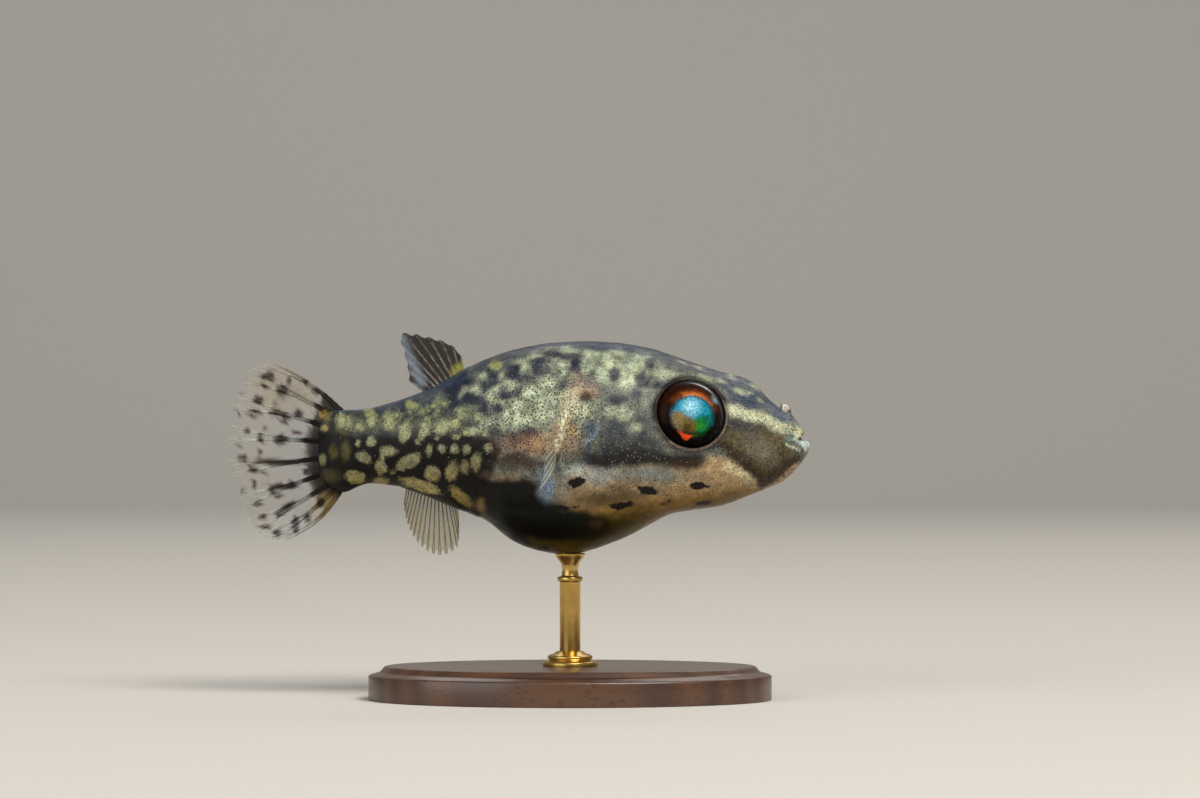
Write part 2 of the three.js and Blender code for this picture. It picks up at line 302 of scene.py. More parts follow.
rings = [lip_ring(*shape_of_ring) for shape_of_ring in LIP_RINGS]
rings += [body_ring(behind) for behind in stations()]
print(len(rings), "rings of", SPOKES, "points")

# %% Extrude the sleeve from ring to ring
def place_ring(mesh, ring):
    """Moves the selected points to the ring, each by the spoke that it remembers."""
    spoke_of = mesh.verts.layers.int.get("spoke")
    for vert in mesh.verts:
        if vert.select:
            vert.co = ring[vert[spoke_of]]


def close_end():
    """Draws the selected ring together into one point on the midline."""
    bpy.ops.mesh.extrude_edges_move()
    bpy.ops.mesh.merge(type="CENTER")


deselect()
bpy.ops.mesh.primitive_circle_add(vertices=SPOKES, radius=MM, rotation=(0, math.pi / 2, 0))
skin = named("skin")
settle(skin)
mesh = edit(skin)
spoke_of = mesh.verts.layers.int.new("spoke")
for vert in mesh.verts:
    vert[spoke_of] = round(math.atan2(vert.co.z, vert.co.y) / spoke_angle(1)) % SPOKES
bpy.ops.mesh.select_all(action="SELECT")
place_ring(mesh, rings[0])
for ring in rings[1:]:
    bpy.ops.mesh.extrude_edges_move()
    place_ring(bmesh.from_edit_mesh(skin.data), ring)
close_end()
select_open_edges()
close_end()
close(skin)
print("skin cage:", len(skin.data.vertices), "points,", len(skin.data.polygons), "faces")

# %% [markdown]
# ### Eye openings
# A puffer's eye has no lids. The skin stops in a thin rounded rim that hugs the eyeball. A hole
# could be cut with a boolean, but that leaves slivers which crease when subdivided. Instead the
# faces over the eye are deleted, the hole's edge is drawn into an even circle, and that edge is
# extruded: up over the rim, down onto the eyeball, and inwards to line the socket.
#
# Each eye has its own axes: fore, up and out, turned a little forwards and upwards from
# straight sideways, as its solid is.

# %% The eyes' own axes
EYE_RADIUS = 2.85 * MM
EYE_DEPTH = 1.9 * MM
EYE_TURN = math.radians(13)


class EyeAxes:
    """Fore, up and out at one eye, and the way between them and the frame."""

    def __init__(self, side):
        low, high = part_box("eye_left" if side == LEFT else "eye_right")
        self.centre = (Vector(low) + Vector(high)) / 2
        level = math.cos(EYE_TURN)
        self.out = Vector((math.sin(EYE_TURN) * level, side * level * level, math.sin(EYE_TURN)))
        self.out.normalize()
        self.fore = Vector((level, -side * math.sin(EYE_TURN), 0))
        self.up = self.out.cross(self.fore) * -side
        self.side = side

    def place(self, radius, turn, out):
        """A point at a radius and turn round the eye's axis, and so far out along it."""
        flat = self.fore * math.cos(turn) + self.up * math.sin(turn)
        return self.centre + flat * radius + self.out * out

    def read(self, point):
        """The radius, turn and height of a point."""
        away = point - self.centre
        fore = away.dot(self.fore)
        up = away.dot(self.up)
        return math.hypot(fore, up), math.atan2(up, fore), away.dot(self.out)


def ball_height(radius):
    """How far the eyeball's surface stands out at a radius from the eye's axis."""
    return EYE_DEPTH * math.sqrt(max(0.0, 1 - (radius / EYE_RADIUS) ** 2))


eyes = {side: EyeAxes(side) for side in (RIGHT, LEFT)}
print("eyes look outwards along", [tuple(round(c, 2) for c in eyes[s].out) for s in eyes])

# %% Open the skin round each eye
ORBIT = 3.02 * MM
ORBIT_CUT = 2.72 * MM
RELAX_TO = 4.6 * MM
# the rim, ring by ring: radius, how far out, and how much of that follows the skin beside it
RIM = [(2.90, 0.66, 0.55), (2.79, 0.80, 0.25), (2.68, 0.80, 0.08), (2.66, 0.58, 0.0),
       (2.95, 0.10, 0.0), (2.90, -1.00, 0.0), (1.80, -2.00, 0.0)]


def skin_height(eye, radius, turn):
    """How far out the clay lies beside the eye."""
    start = eye.place(radius, turn, FAR)
    return eye.read(shape.ray_cast(start, -eye.out, 2 * FAR)[0])[2]


def cut_opening(eye):
    """Deletes the faces over one eye, and gives the points on the edge in order round it."""
    mesh = edit(skin)
    for face in mesh.faces:
        radius, turn, out = eye.read(face.calc_center_median())
        face.select_set(radius < ORBIT_CUT and out > 0)
    bpy.ops.mesh.delete(type="FACE")
    select_open_edges()
    mesh = bmesh.from_edit_mesh(skin.data)
    edge = [vert for vert in mesh.verts if vert.select]
    return mesh, sorted(edge, key=lambda vert: eye.read(vert.co)[1])


def even_circle(eye, edge):
    """Spaces the edge's points evenly round the eye, on the clay."""
    step = 2 * math.pi / len(edge)
    lead = sum(eye.read(vert.co)[1] - step * i for i, vert in enumerate(edge)) / len(edge)
    for i, vert in enumerate(edge):
        turn = lead + step * i
        vert.co = eye.place(ORBIT, turn, skin_height(eye, ORBIT, turn))


def relax_round(eye, mesh):
    """Evens out the faces round the opening, and lays them back on the clay."""
    for vert in mesh.verts:
        radius, turn, out = eye.read(vert.co)
        vert.select_set(ORBIT * 1.01 < radius < RELAX_TO and out > 0)
    bpy.ops.mesh.vertices_smooth(factor=0.5, repeat=4)
    for vert in mesh.verts:
        if vert.select:
            vert.co = shape.find_nearest(vert.co)[0]


for side, eye in eyes.items():
    mesh, edge = cut_opening(eye)
    even_circle(eye, edge)
    relax_round(eye, mesh)
    select_open_edges()
    for radius, out, follow in RIM:
        bpy.ops.mesh.extrude_edges_move()
        for vert in bmesh.from_edit_mesh(skin.data).verts:
            if vert.select:
                turn = eye.read(vert.co)[1]
                beside = skin_height(eye, ORBIT, turn)
                vert.co = eye.place(radius * MM, turn, out * MM * (1 - follow) + beside * follow)
    close_end()
    close(skin)
print("skin with eye openings:", len(skin.data.polygons), "faces")

# %% [markdown]
# ### Nostrils
# A freshwater puffer breathes water past its nose through two short, open nubs on top of the
# snout. Each is drawn out of the skin itself: four faces are inset to leave a ring of skin,
# extruded into a stub, inset again for the wall's thickness, and pushed back in for the hole.

# %% Draw out the nostrils
NOSTRIL = on_fish(1.80, 2.85, 0.52)
NOSTRIL_HEIGHT = 0.55 * MM
NOSTRIL_LEAN = 0.10
NOSTRIL_SPLAY = 0.35
# each part of the stub: its share of the height, and the size of its end against its start
STUB = [(0.4, (0.85, 0.85, 0.85)), (0.4, (1.0, 0.85, 1.0)), (0.2, (0.7, 0.7, 1.0))]

edit(skin)
for side in (RIGHT, LEFT):
    spot = Vector((NOSTRIL.x, side * NOSTRIL.y, NOSTRIL.z))
    mesh = bmesh.from_edit_mesh(skin.data)
    bpy.ops.mesh.select_all(action="DESELECT")
    corner = min(mesh.verts, key=lambda vert: (vert.co - spot).length)
    for face in corner.link_faces:
        face.select_set(True)
    bpy.ops.mesh.inset(thickness=0.06 * MM)
    rise = Vector((NOSTRIL_LEAN, side * NOSTRIL_SPLAY, 1.0)).normalized() * NOSTRIL_HEIGHT
    for share, size in STUB:
        bpy.ops.mesh.extrude_region_move(TRANSFORM_OT_translate={"value": rise * share})
        bpy.ops.transform.resize(value=size)
    bpy.ops.mesh.inset(thickness=0.05 * MM)
    bpy.ops.mesh.extrude_region_move(TRANSFORM_OT_translate={"value": rise * -0.5})
close(skin)
print("nostrils drawn out:", len(skin.data.polygons), "faces")

# %% [markdown]
# ### Smooth the cage and carve the forms
# Two rounds of subdivision turn the cage into a surface as fine as the skin's own folds, about
# 0.15 mm between points. The folds are then carved as a sculptor would with a loop tool: each
# stroke follows a line on the fish and pushes the skin in or out along its normal, fading to
# nothing at the stroke's edge. Strokes are given in millimetres behind the snout and above the
# axis, like everything on the fish, so they are easy to move.

# %% Fine skin
finish_with(skin, "SUBSURF", levels=2, render_levels=2)
bpy.ops.object.shade_smooth()
bpy.data.objects.remove(clay)
print("fine skin:", len(skin.data.polygons), "faces")

# %% Where each point of the skin is
SWAY_START = 22.0
SWAY_SPAN = 23.0
SWAY = 3.6


def sway(behind):
    """How far the tail has swung to the left, in mm, at so many mm behind the snout."""
    return SWAY * (np.maximum(behind - SWAY_START, 0) / SWAY_SPAN) ** 2


def points_of(piece):
    """The piece's points as rows of x, y and z."""
    flat = np.empty(3 * len(piece.data.vertices))
    piece.data.vertices.foreach_get("co", flat)
    return flat.reshape(-1, 3)


def normals_of(piece):
    flat = np.empty(3 * len(piece.data.vertices), dtype=np.float32)
    piece.data.vertex_normals.foreach_get("vector", flat)
    return flat.reshape(-1, 3).astype(float)


def read_places(points):
    """Each point's mm behind the snout, above the axis, and to the left of the bent midline."""
    behind = (SNOUT - points[:, 0]) / MM
    above = (points[:, 2] - AXIS) / MM
    return behind, above, points[:, 1] / MM - sway(behind)


def field(points, size, seed):
    """Smooth noise of about -1 to 1 whose lumps are size mm across, at each point."""
    shift = Vector((seed * 7.3, seed * 3.1, seed * 1.7))
    return np.array([noise.noise(Vector(point) / (size * MM) + shift) for point in points])


points = points_of(skin)
behind, above, across = read_places(points)
print("skin reaches", round(across.min(), 2), "to", round(across.max(), 2), "mm from the midline")

# %% Distances to shapes drawn on the fish's side, in mm, positive inside
def oval(u, v, middle, half_length, half_height, tilt=0.0):
    """An ellipse. A tilt of so many degrees lifts its snout end."""
    forward = middle[0] - u
    rise = v - middle[1]
    turn = math.radians(tilt)
    along = forward * math.cos(turn) + rise * math.sin(turn)
    over = rise * math.cos(turn) - forward * math.sin(turn)
    return (1 - np.hypot(along / half_length, over / half_height)) * min(half_length, half_height)


def to_line(u, v, line):
    """How far each point is from a broken line."""
    best = np.full(len(u), np.inf)
    for (u0, v0), (u1, v1) in zip(line, line[1:]):
        du, dv = u1 - u0, v1 - v0
        share = np.clip(((u - u0) * du + (v - v0) * dv) / (du * du + dv * dv), 0, 1)
        best = np.minimum(best, np.hypot(u - u0 - share * du, v - v0 - share * dv))
    return best


def patch(u, v, outline):
    """A closed outline."""
    inside = np.zeros(len(u), dtype=bool)
    for (u0, v0), (u1, v1) in zip(outline, outline[1:] + outline[:1]):
        crosses = (v0 > v) != (v1 > v)
        at = u0 + (v - v0) * (u1 - u0) / (v1 - v0 if v1 != v0 else 1)
        inside ^= crosses & (u < at)
    away = to_line(u, v, outline + outline[:1])
    return np.where(inside, away, -away)


def soft(distance, blur):
    """Turns a distance into a share from 0 outside to 1 inside, blurred over blur mm."""
    share = np.clip(distance / blur + 0.5, 0, 1)
    return share * share * (3 - 2 * share)


# %% Carve the folds
# line on the fish, half the stroke's width in mm, and how far it pushes outwards in mm
GROOVES_AND_RIDGES = [
    ([(16.2, 2.5), (16.75, 1.6), (17.15, 0.7), (17.3, -0.3), (17.1, -1.2)], 0.32, -0.42),
    ([(15.75, 2.5), (16.2, 1.6), (16.6, 0.7), (16.75, -0.3)], 0.55, 0.16),
    ([(18.6, 3.4), (19.3, 1.6), (19.4, 0.2), (19.2, -1.1)], 1.0, 0.26),
    ([(12.3, 5.0), (10.9, 5.85), (9.4, 6.05), (7.8, 5.5), (6.9, 4.8)], 0.6, 0.12),
    ([(12.9, 1.6), (12.0, -0.3), (10.4, -1.2), (8.6, -1.3), (6.9, -0.5)], 0.5, -0.05),
    ([(1.25, 0.55), (1.7, -0.2), (2.2, -1.1)], 0.25, -0.07),
    ([(1.75, 1.75), (1.45, 1.25), (1.5, 0.75)], 0.16, -0.08),
    ([(1.95, 1.35), (1.75, 1.0), (1.85, 0.6)], 0.14, -0.06),
    ([(1.2, 1.72), (1.0, 1.38), (1.1, 1.05)], 0.12, -0.07),
    ([(0.95, 0.5), (1.15, 0.15), (1.25, -0.3)], 0.14, -0.05),
    ([(25.0, -4.0), (22.0, -4.5), (18.5, -4.3), (16.0, -3.3), (13.0, -2.7)], 0.5, -0.07),
    ([(12.8, -4.3), (14.0, -4.6), (15.6, -5.5)], 0.5, -0.05),
    ([(26.3, 6.1), (27.6, 5.1), (29.2, 4.25)], 0.5, 0.10),
    ([(26.6, -4.4), (28.4, -3.4), (31.2, -2.7)], 0.5, 0.10),
    ([(25.6, -4.9), (26.2, -4.6)], 0.4, 0.12),
]
LUMPS = 0.035


def carve(strokes):
    """How far outwards every stroke together moves each point."""
    push = np.zeros(len(behind))
    for line, half_width, depth in strokes:
        share = np.clip(1 - to_line(behind, above, line) / half_width, 0, 1)
        push += depth * share * share * (3 - 2 * share)
    return push


# The strokes are for the fish's sides, so they fade where the skin faces into the eye sockets.
free = np.ones(len(points))
for eye in eyes.values():
    off = (points - np.array(eye.centre)) / MM
    from_axis = np.linalg.norm(np.cross(off, np.array(eye.out)), axis=1)
    near_side = off @ np.array(eye.out) > -2.3
    free[near_side & (from_axis < 3.0)] = 0
slack = soft(np.hypot(behind - 0.9, above - 0.85) - 0.75, 0.4)
push = carve(GROOVES_AND_RIDGES) * free
push += LUMPS * field(points, 2.2, 1) * free * slack
push += 0.5 * LUMPS * field(points, 0.8, 2) * free * slack
points += normals_of(skin) * (push * MM)[:, None]
skin.data.vertices.foreach_set("co", points.ravel())
skin.data.update()
print("deepest groove", round(push.min(), 2), "mm, highest ridge", round(push.max(), 2), "mm")

# %% [markdown]
# ## Markings
# The markings are painted on the skin's own points, as a model painter would: first soft
# airbrushed washes, each a colour and a shape on the fish's side, and then the marks with an
# edge, which are kept as distances in mm so that the material can draw them sharper than the
# mesh is fine. Marks are listed as (behind, above, half length, half height, tilt). The fish's
# two sides are never quite alike, so the left side gets the same marks, each moved, stretched
# and tilted a little.

# %% Colours from hex to linear light
def linear(hex_colour):
    """An sRGB colour such as "c0ffee" as linear red, green and blue."""
    values = [int(hex_colour[i:i + 2], 16) / 255 for i in (0, 2, 4)]
    return np.array([v / 12.92 if v <= 0.04045 else ((v + 0.055) / 1.055) ** 2.4 for v in values])


# %% Places for the brush, a little unsteady
BRUSH_WANDER = 0.28
EDGE_WANDER = 0.13

points = points_of(skin)
upward = normals_of(skin)[:, 2]
behind, above, across = read_places(points)
u = behind + BRUSH_WANDER * field(points, 1.3, 11) + 0.5 * BRUSH_WANDER * field(points, 0.55, 12)
v = above + BRUSH_WANDER * field(points, 1.3, 13) + 0.5 * BRUSH_WANDER * field(points, 0.55, 14)
edge_u = behind + EDGE_WANDER * field(points, 0.5, 15)
edge_v = above + EDGE_WANDER * field(points, 0.5, 16)
on_left = across > 0


def for_left(marks, seed):
    """The same marks for the other side, each a little different."""
    rng = random.Random(seed)
    moved = []
    for mark in marks:
        middle_u, middle_v, length, height, tilt = (*mark, 0)[:5]
        moved.append((
            middle_u + rng.uniform(-0.4, 0.4),
            middle_v + rng.uniform(-0.2, 0.2),
            length * rng.uniform(0.8, 1.2),
            height * rng.uniform(0.85, 1.15),
            tilt + rng.uniform(-12, 12),
        ))
    return moved


def marks_field(where_u, where_v, marks, seed):
    """The distance into the nearest of the marks, on each side of the fish."""
    best = np.full(len(where_u), -np.inf)
    for side_marks, side in ((marks, ~on_left), (for_left(marks, seed), on_left)):
        for mark in side_marks:
            middle_u, middle_v, length, height, tilt = (*mark, 0)[:5]
            near = side & (np.hypot(where_u - middle_u, where_v - middle_v) < 2 * length + 1)
            inside = oval(where_u[near], where_v[near], (middle_u, middle_v), length, height, tilt)
            best[near] = np.maximum(best[near], inside)
    return np.maximum(best, -2)


# %% The back's maze of cream on slate
FLANK_LIGHT = [
    (25.9, 6.1, 0.6, 0.3), (25.1, 5.6, 0.5, 0.35), (25.6, 4.5, 0.5, 0.45), (23.6, 5.9, 0.5, 0.2, 45),
    (22.3, 6.8, 0.6, 0.3), (22.0, 6.4, 0.3, 0.5), (21.2, 7.2, 0.6, 0.3, 30), (20.5, 7.9, 1.0, 0.2),
    (20.4, 6.5, 0.2, 0.25), (19.9, 7.1, 0.25, 0.2), (19.2, 6.5, 0.4, 0.3), (19.0, 6.0, 0.3, 0.4),
    (18.3, 7.6, 0.6, 0.4), (23.2, 5.1, 0.7, 0.35), (22.8, 4.7, 0.4, 0.25), (24.3, 4.5, 0.5, 0.6),
    (21.5, 4.6, 0.7, 0.4), (20.5, 5.2, 0.8, 0.35), (23.9, 3.6, 0.4, 0.3), (22.4, 3.5, 0.5, 0.35),
    (20.3, 3.8, 0.9, 0.6), (20.4, 2.6, 1.0, 0.6), (22.3, 2.2, 0.8, 0.5), (23.5, 2.3, 0.5, 0.7),
    (24.8, 2.1, 0.6, 0.35), (25.6, 1.7, 0.6, 0.3), (16.8, 7.3, 0.6, 0.5), (14.8, 7.5, 0.7, 0.4),
    (13.0, 7.0, 0.8, 0.7), (14.0, 6.3, 0.8, 0.4), (14.3, 5.3, 0.7, 0.6), (11.0, 5.8, 1.0, 0.4),
    (8.4, 5.3, 0.7, 0.5), (7.5, 5.9, 0.6, 0.3), (5.3, 4.6, 0.7, 0.3), (17.1, 6.4, 0.5, 0.7),
    (16.1, 5.7, 0.5, 0.6), (15.7, 6.8, 0.4, 0.5), (12.6, 5.9, 0.3, 0.5), (17.6, 3.4, 0.6, 0.9),
    (14.3, 2.8, 0.7, 0.4), (13.6, 1.8, 0.6, 0.4), (19.7, 6.9, 0.3, 0.2), (15.3, 3.0, 0.5, 0.5),
    (20.1, 6.4, 0.2, 0.2), (26.7, 4.5, 0.4, 0.4),
]
FLANK_DARK = [
    (27.5, 4.6, 0.7, 0.7), (27.2, 3.7, 0.9, 0.3), (25.9, 3.7, 0.8, 0.5), (24.5, 5.6, 0.4, 0.7),
    (24.9, 4.8, 0.3, 0.4), (24.0, 3.1, 0.3, 0.5), (25.0, 3.3, 0.4, 0.6), (26.0, 2.2, 0.8, 0.3),
    (23.0, 6.1, 0.65, 0.5), (22.0, 5.6, 1.0, 0.35), (23.3, 4.2, 0.7, 0.35), (22.4, 4.5, 0.4, 0.4),
    (20.8, 6.3, 0.6, 0.6), (19.7, 7.35, 0.6, 0.3), (20.2, 7.5, 0.8, 0.2), (18.9, 7.2, 0.6, 0.2),
    (18.1, 6.6, 0.4, 0.6), (21.3, 5.3, 0.7, 0.2), (12.9, 5.5, 0.6, 0.6), (12.4, 6.5, 0.4, 0.5),
    (15.2, 5.8, 0.6, 0.5), (14.8, 3.9, 0.8, 0.28), (4.9, 3.8, 1.0, 0.35), (26.6, 5.3, 0.5, 0.4),
    (13.4, 4.4, 0.4, 0.35), (19.0, 5.0, 0.4, 0.3),
    (21.6, 1.3, 0.6, 0.4), (13.9, 7.9, 0.5, 0.25), (11.8, 5.0, 0.4, 0.3), (16.0, 7.8, 0.8, 0.25),
]
TONE_COLOURS = [(0.0, "22262f"), (0.25, "3d4147"), (0.45, "65665c"), (0.7, "92997e"), (1.0, "c4cdb0")]


def ramp(tone, stops):
    """Colours from a tone, evenly between the stops."""
    places = [place for place, _ in stops]
    colours = np.array([linear(colour) for _, colour in stops])
    return np.stack([np.interp(tone, places, colours[:, band]) for band in range(3)], axis=1)


tone = 0.44 + 0.12 * field(points, 1.4, 21) + 0.14 * field(points, 0.55, 22)
tone += 0.10 * soft(oval(u, v, (20.5, 3.4), 4.0, 2.6), 1.6)
tone += 0.12 * soft(oval(u, v, (13.9, 6.2), 2.6, 1.7), 1.2)
tone -= 0.12 * soft(oval(u, v, (14.2, 0.8), 2.6, 1.6), 1.2)
tone -= 0.20 * soft(u - 27.0, 3.0)
tone += 0.28 * soft(marks_field(u, v, FLANK_LIGHT, 31), 0.45)
tone -= 0.34 * soft(marks_field(u, v, FLANK_DARK, 32), 0.45)
maze = 1 - np.abs(field(points, 1.1, 23)) * 4.5
# Skin that faces straight up gets a dark slate with a maze in it. This is partly the back's own colour and
# partly painted: it is darkened as painted shade against the key light from above, and it draws the
# blue-grey painted sheen along the back's outline.
slate_and_sheen_on_top = soft(upward - 0.955, 0.07)
tone = tone * (1 - slate_and_sheen_on_top) + slate_and_sheen_on_top * (0.20 + 0.38 * np.clip(maze, 0, 1))
coat = ramp(np.clip(tone, 0, 1), TONE_COLOURS)
print("tone from", round(tone.min(), 2), "to", round(tone.max(), 2))

# %% [markdown]
# The washes are laid from the widest to the smallest: slate along the back, partly the back's own
# colour and partly a painted blue-grey sheen, tan on the cheek and throat with a grey-blue painted
# sheen, the dark sac of the belly that goes from black behind to olive in front, with a golden
# painted glow of light through the skin along the underside, copper on the lower flank, the brown
# patch round the snout, and the blue gleams by the gill.

# %% Airbrushed washes
def wash(paint, colour, distance, blur, strength=1.0):
    """Lays a colour over the paint inside a shape with a blurred edge."""
    share = (soft(distance, blur) * strength)[:, None]
    paint[:] = paint * (1 - share) + linear(colour) * share


def lay(paint, washes):
    """Lays washes in turn: a colour, a brush hand, a shape, its blur in mm and its strength.

    A shape is an oval (behind, above, half length, half height, tilt) or a stroke (half width, line).
    """
    for colour, hand, shape, blur, strength in washes:
        if isinstance(shape[1], list):
            distance = shape[0] - to_line(*hand, shape[1])
        else:
            distance = oval(*hand, shape[:2], *shape[2:])
        wash(paint, colour, distance, blur, strength)


loose = (u, v)
firm = (edge_u, edge_v)
steady = (behind, above)

THROAT = [(18.2, -1.3), (16.8, -1.25), (14.5, -1.05), (12.2, -0.95), (10.2, -0.95), (8.8, -0.75),
          (7.2, -0.45), (6.2, -0.6), (5.0, -1.5), (4.2, -2.4), (3.2, -3.6), (3.0, -9.0),
          (20.0, -9.0), (18.6, -3.0)]
SAC = [(25.4, -2.3), (23.0, -2.35), (21.2, -2.4), (20.6, -3.5), (18.9, -4.3), (17.4, -4.5),
       (15.6, -5.1), (14.0, -5.5), (12.9, -6.0), (12.0, -6.4), (11.8, -9.0), (26.0, -9.0),
       (26.2, -4.6)]
NAPE_SLATE_AND_SHEEN = [(18.0, 8.2), (15.5, 8.05), (12.3, 7.5), (9.7, 6.5), (7.6, 5.85)]
BACK_SLATE_AND_SHEEN = [(20.8, 8.1), (21.8, 7.65), (23.0, 7.2), (24.4, 6.75), (25.8, 6.15), (28.0, 5.0)]
FOREHEAD = [(8.0, 6.3), (7.3, 5.0), (6.4, 4.1), (5.0, 3.3), (3.6, 2.95), (2.4, 2.5), (2.2, 3.1),
            (3.4, 4.4), (4.5, 5.5), (6.5, 6.4)]
FOREHEAD_SPOTS = [(5.4, 4.45, 0.75, 0.2, -18), (7.0, 5.2, 0.5, 0.14, -25), (4.4, 4.9, 0.4, 0.12, -35),
                  (6.3, 5.6, 0.4, 0.1, -15), (4.0, 3.7, 0.3, 0.12, -20), (8.6, 6.3, 0.5, 0.1, -20),
                  (9.9, 6.6, 0.5, 0.1, -20), (3.2, 3.1, 0.25, 0.1, -30)]
SNOUT_PATCH = [(6.7, 2.3), (5.5, 2.3), (4.2, 1.9), (3.0, 1.45), (2.2, 0.95), (1.75, 0.1),
               (0.9, -0.45), (0.7, -0.8), (1.75, -1.8), (2.5, -2.4), (3.6, -3.15), (4.4, -2.2),
               (5.2, -1.35), (6.2, -0.45), (7.2, 0.3)]
SNOUT_EDGE = [(0.95, -0.4), (1.75, -1.2), (2.6, -1.85), (3.5, -2.6), (4.2, -2.05), (5.0, -1.2),
              (6.0, -0.35), (6.9, 0.5)]

# slate along the back and its outline: partly the back's own colour, partly a painted blue-grey sheen,
# darkest where the skin faces up
wash(coat, "3a4354", upward - 0.93, 0.08, 0.75)
lay(coat, [
    ("323b4b", loose, (0.42, NAPE_SLATE_AND_SHEEN), 0.5, 0.8),
    ("2b3342", loose, (0.36, BACK_SLATE_AND_SHEEN), 0.5, 0.85),
])
wash(coat, "454d5c", patch(u, v, FOREHEAD), 0.7, 0.75)
wash(coat, "a9ab8a", marks_field(u, v, FOREHEAD_SPOTS, 30), 0.25, 0.75)
wash(coat, "a18864", patch(u, v, THROAT), 0.5)
lay(coat, [
    ("857052", loose, (16.2, -3.0, 4.2, 1.3), 1.4, 0.65),
    # the next three washes are a grey-blue painted sheen on the throat, with a small pale painted gleam
    ("68695f", loose, (13.2, -1.6, 3.4, 0.8, -4), 1.2, 0.85),
    ("7f8a88", loose, (12.3, -1.85, 1.7, 0.22), 0.6, 0.5),
    ("8d8f88", loose, (16.4, -1.8, 1.5, 0.7), 0.6, 0.8),
    ("cbbf98", loose, (0.4, [(6.4, -1.2), (5.4, -1.9), (4.3, -2.9)]), 0.6, 0.7),
])
wash(coat, "94702f", -3.3 - v - 0.12 * (u - 10), 1.6, 0.75)
wash(coat, "5a4312", -4.05 - v - 0.20 * (u - 10), 1.4, 0.9)
wash(coat, "6b5222", oval(u, v, (6.2, -3.3), 0.7, 0.25), 0.4, 0.45)

# %% The belly sac
SAC_COLOURS = [(11.5, "5f4a10"), (14.0, "40320a"), (16.0, "191604"), (18.0, "080b03"), (20.0, "050503")]
wash(coat, "3d2f0a", oval(u, v, (14.4, -5.3), 2.4, 0.9, 14), 1.3, 0.75)
sac_share = soft(patch(u, v, SAC), 0.9)[:, None]
sac_colour = ramp(behind, SAC_COLOURS)
coat[:] = coat * (1 - sac_share) + sac_colour * sac_share
wash(coat, "33230e", oval(u, v, (15.7, -3.65), 2.8, 0.65, 6), 1.0, 0.75)
# a golden painted glow on the downward-facing skin of the belly, standing in for light shining through the
# thin skin
wash(coat, "6b540c", np.minimum(-upward - 0.84, (21.5 - u) * 0.1), 0.16, 0.45)
lay(coat, [
    ("0c0b09", loose, (23.0, -2.75, 2.3, 0.8, -2), 0.4, 1.0),
    ("7d6440", firm, (25.55, -3.75, 1.1, 0.42, -66), 0.4, 0.9),
])

# %% The stalk, the flank and the snout
STALK = [(39.0, 1.6), (36.0, 1.15), (32.0, 0.95), (28.0, 1.15), (25.5, 1.1), (24.2, 0.75),
         (23.6, 0.1), (24.2, -1.3), (24.6, -2.2), (22.4, -2.3), (25.0, -3.2), (26.5, -5.2),
         (39.0, -5.2)]
BACK_EDGE = [(39.0, 2.45), (36.5, 2.75), (34.0, 3.0), (31.0, 3.7), (28.4, 4.6), (26.0, 6.4),
             (24.0, 12.0)]
wash(coat, "322f2a", np.minimum(u - 26.0, 2.9 - v), 1.6, 0.75)
wash(coat, "0b0805", patch(u, v, STALK), 0.5)
# the stalk's top, above its back edge, gets the same slate with a painted blue-grey sheen
wash(coat, "3d4754", v - np.interp(behind, *zip(*BACK_EDGE[::-1])), 0.5, 0.85)
lay(coat, [
    ("6f7258", loose, (0.45, [(36.0, 1.9), (31.0, 1.9), (26.0, 2.5)]), 0.8, 0.4),
    ("17130f", loose, (0.42, [(36.9, 3.0), (36.6, 0.0), (36.5, -3.0)]), 0.4, 0.7),
    ("948550", firm, (37.45, 1.62, 0.30, 0.22), 0.2, 0.9),
    ("7d7048", firm, (37.2, 2.6, 0.28, 0.6), 0.35, 0.7),
    ("8f8a60", firm, (37.6, -0.75, 0.28, 0.42), 0.25, 0.7),
    ("5c4e34", loose, (37.0, -2.1, 0.6, 0.4), 0.9, 0.5),
    ("15100c", firm, (0.25, [(38.1, 2.6), (38.2, 0.0), (38.0, -2.4)]), 0.3, 0.8),
    ("2b2725", loose, (0.22, [(25.5, 1.0), (21.9, 1.25)]), 0.5, 0.75),
    ("8e6648", loose, (21.3, 0.45, 1.7, 0.6), 1.6, 0.85),
    ("b08c68", loose, (20.4, 0.5, 0.9, 0.4), 0.9, 0.5),
    ("3a2b1d", loose, (22.8, -0.9, 1.7, 0.5), 0.6, 0.8),
    ("75604a", loose, (23.4, -1.85, 1.3, 0.3), 0.5, 0.85),
    ("4a3426", loose, (22.6, 0.75, 0.45, 0.45), 0.4, 0.55),
    ("3a2c24", loose, (22.9, -0.6, 1.0, 0.45), 0.5, 0.85),
    ("3a2c24", loose, (21.4, -1.05, 1.1, 0.4), 0.6, 0.7),
    ("b09478", loose, (17.9, 4.3, 0.7, 1.2), 1.2, 0.55),
    ("a8835f", loose, (17.1, 4.3, 0.75, 0.6), 0.6, 0.55),
    ("c2c19b", loose, (18.75, 4.0, 0.4, 0.8, -70), 0.9, 0.6),
    ("2b1c12", firm, (17.3, 4.0, 0.55, 0.42), 0.4, 0.95),
])
wash(coat, "4d4029", patch(u, v, SNOUT_PATCH), 0.55, 0.92)
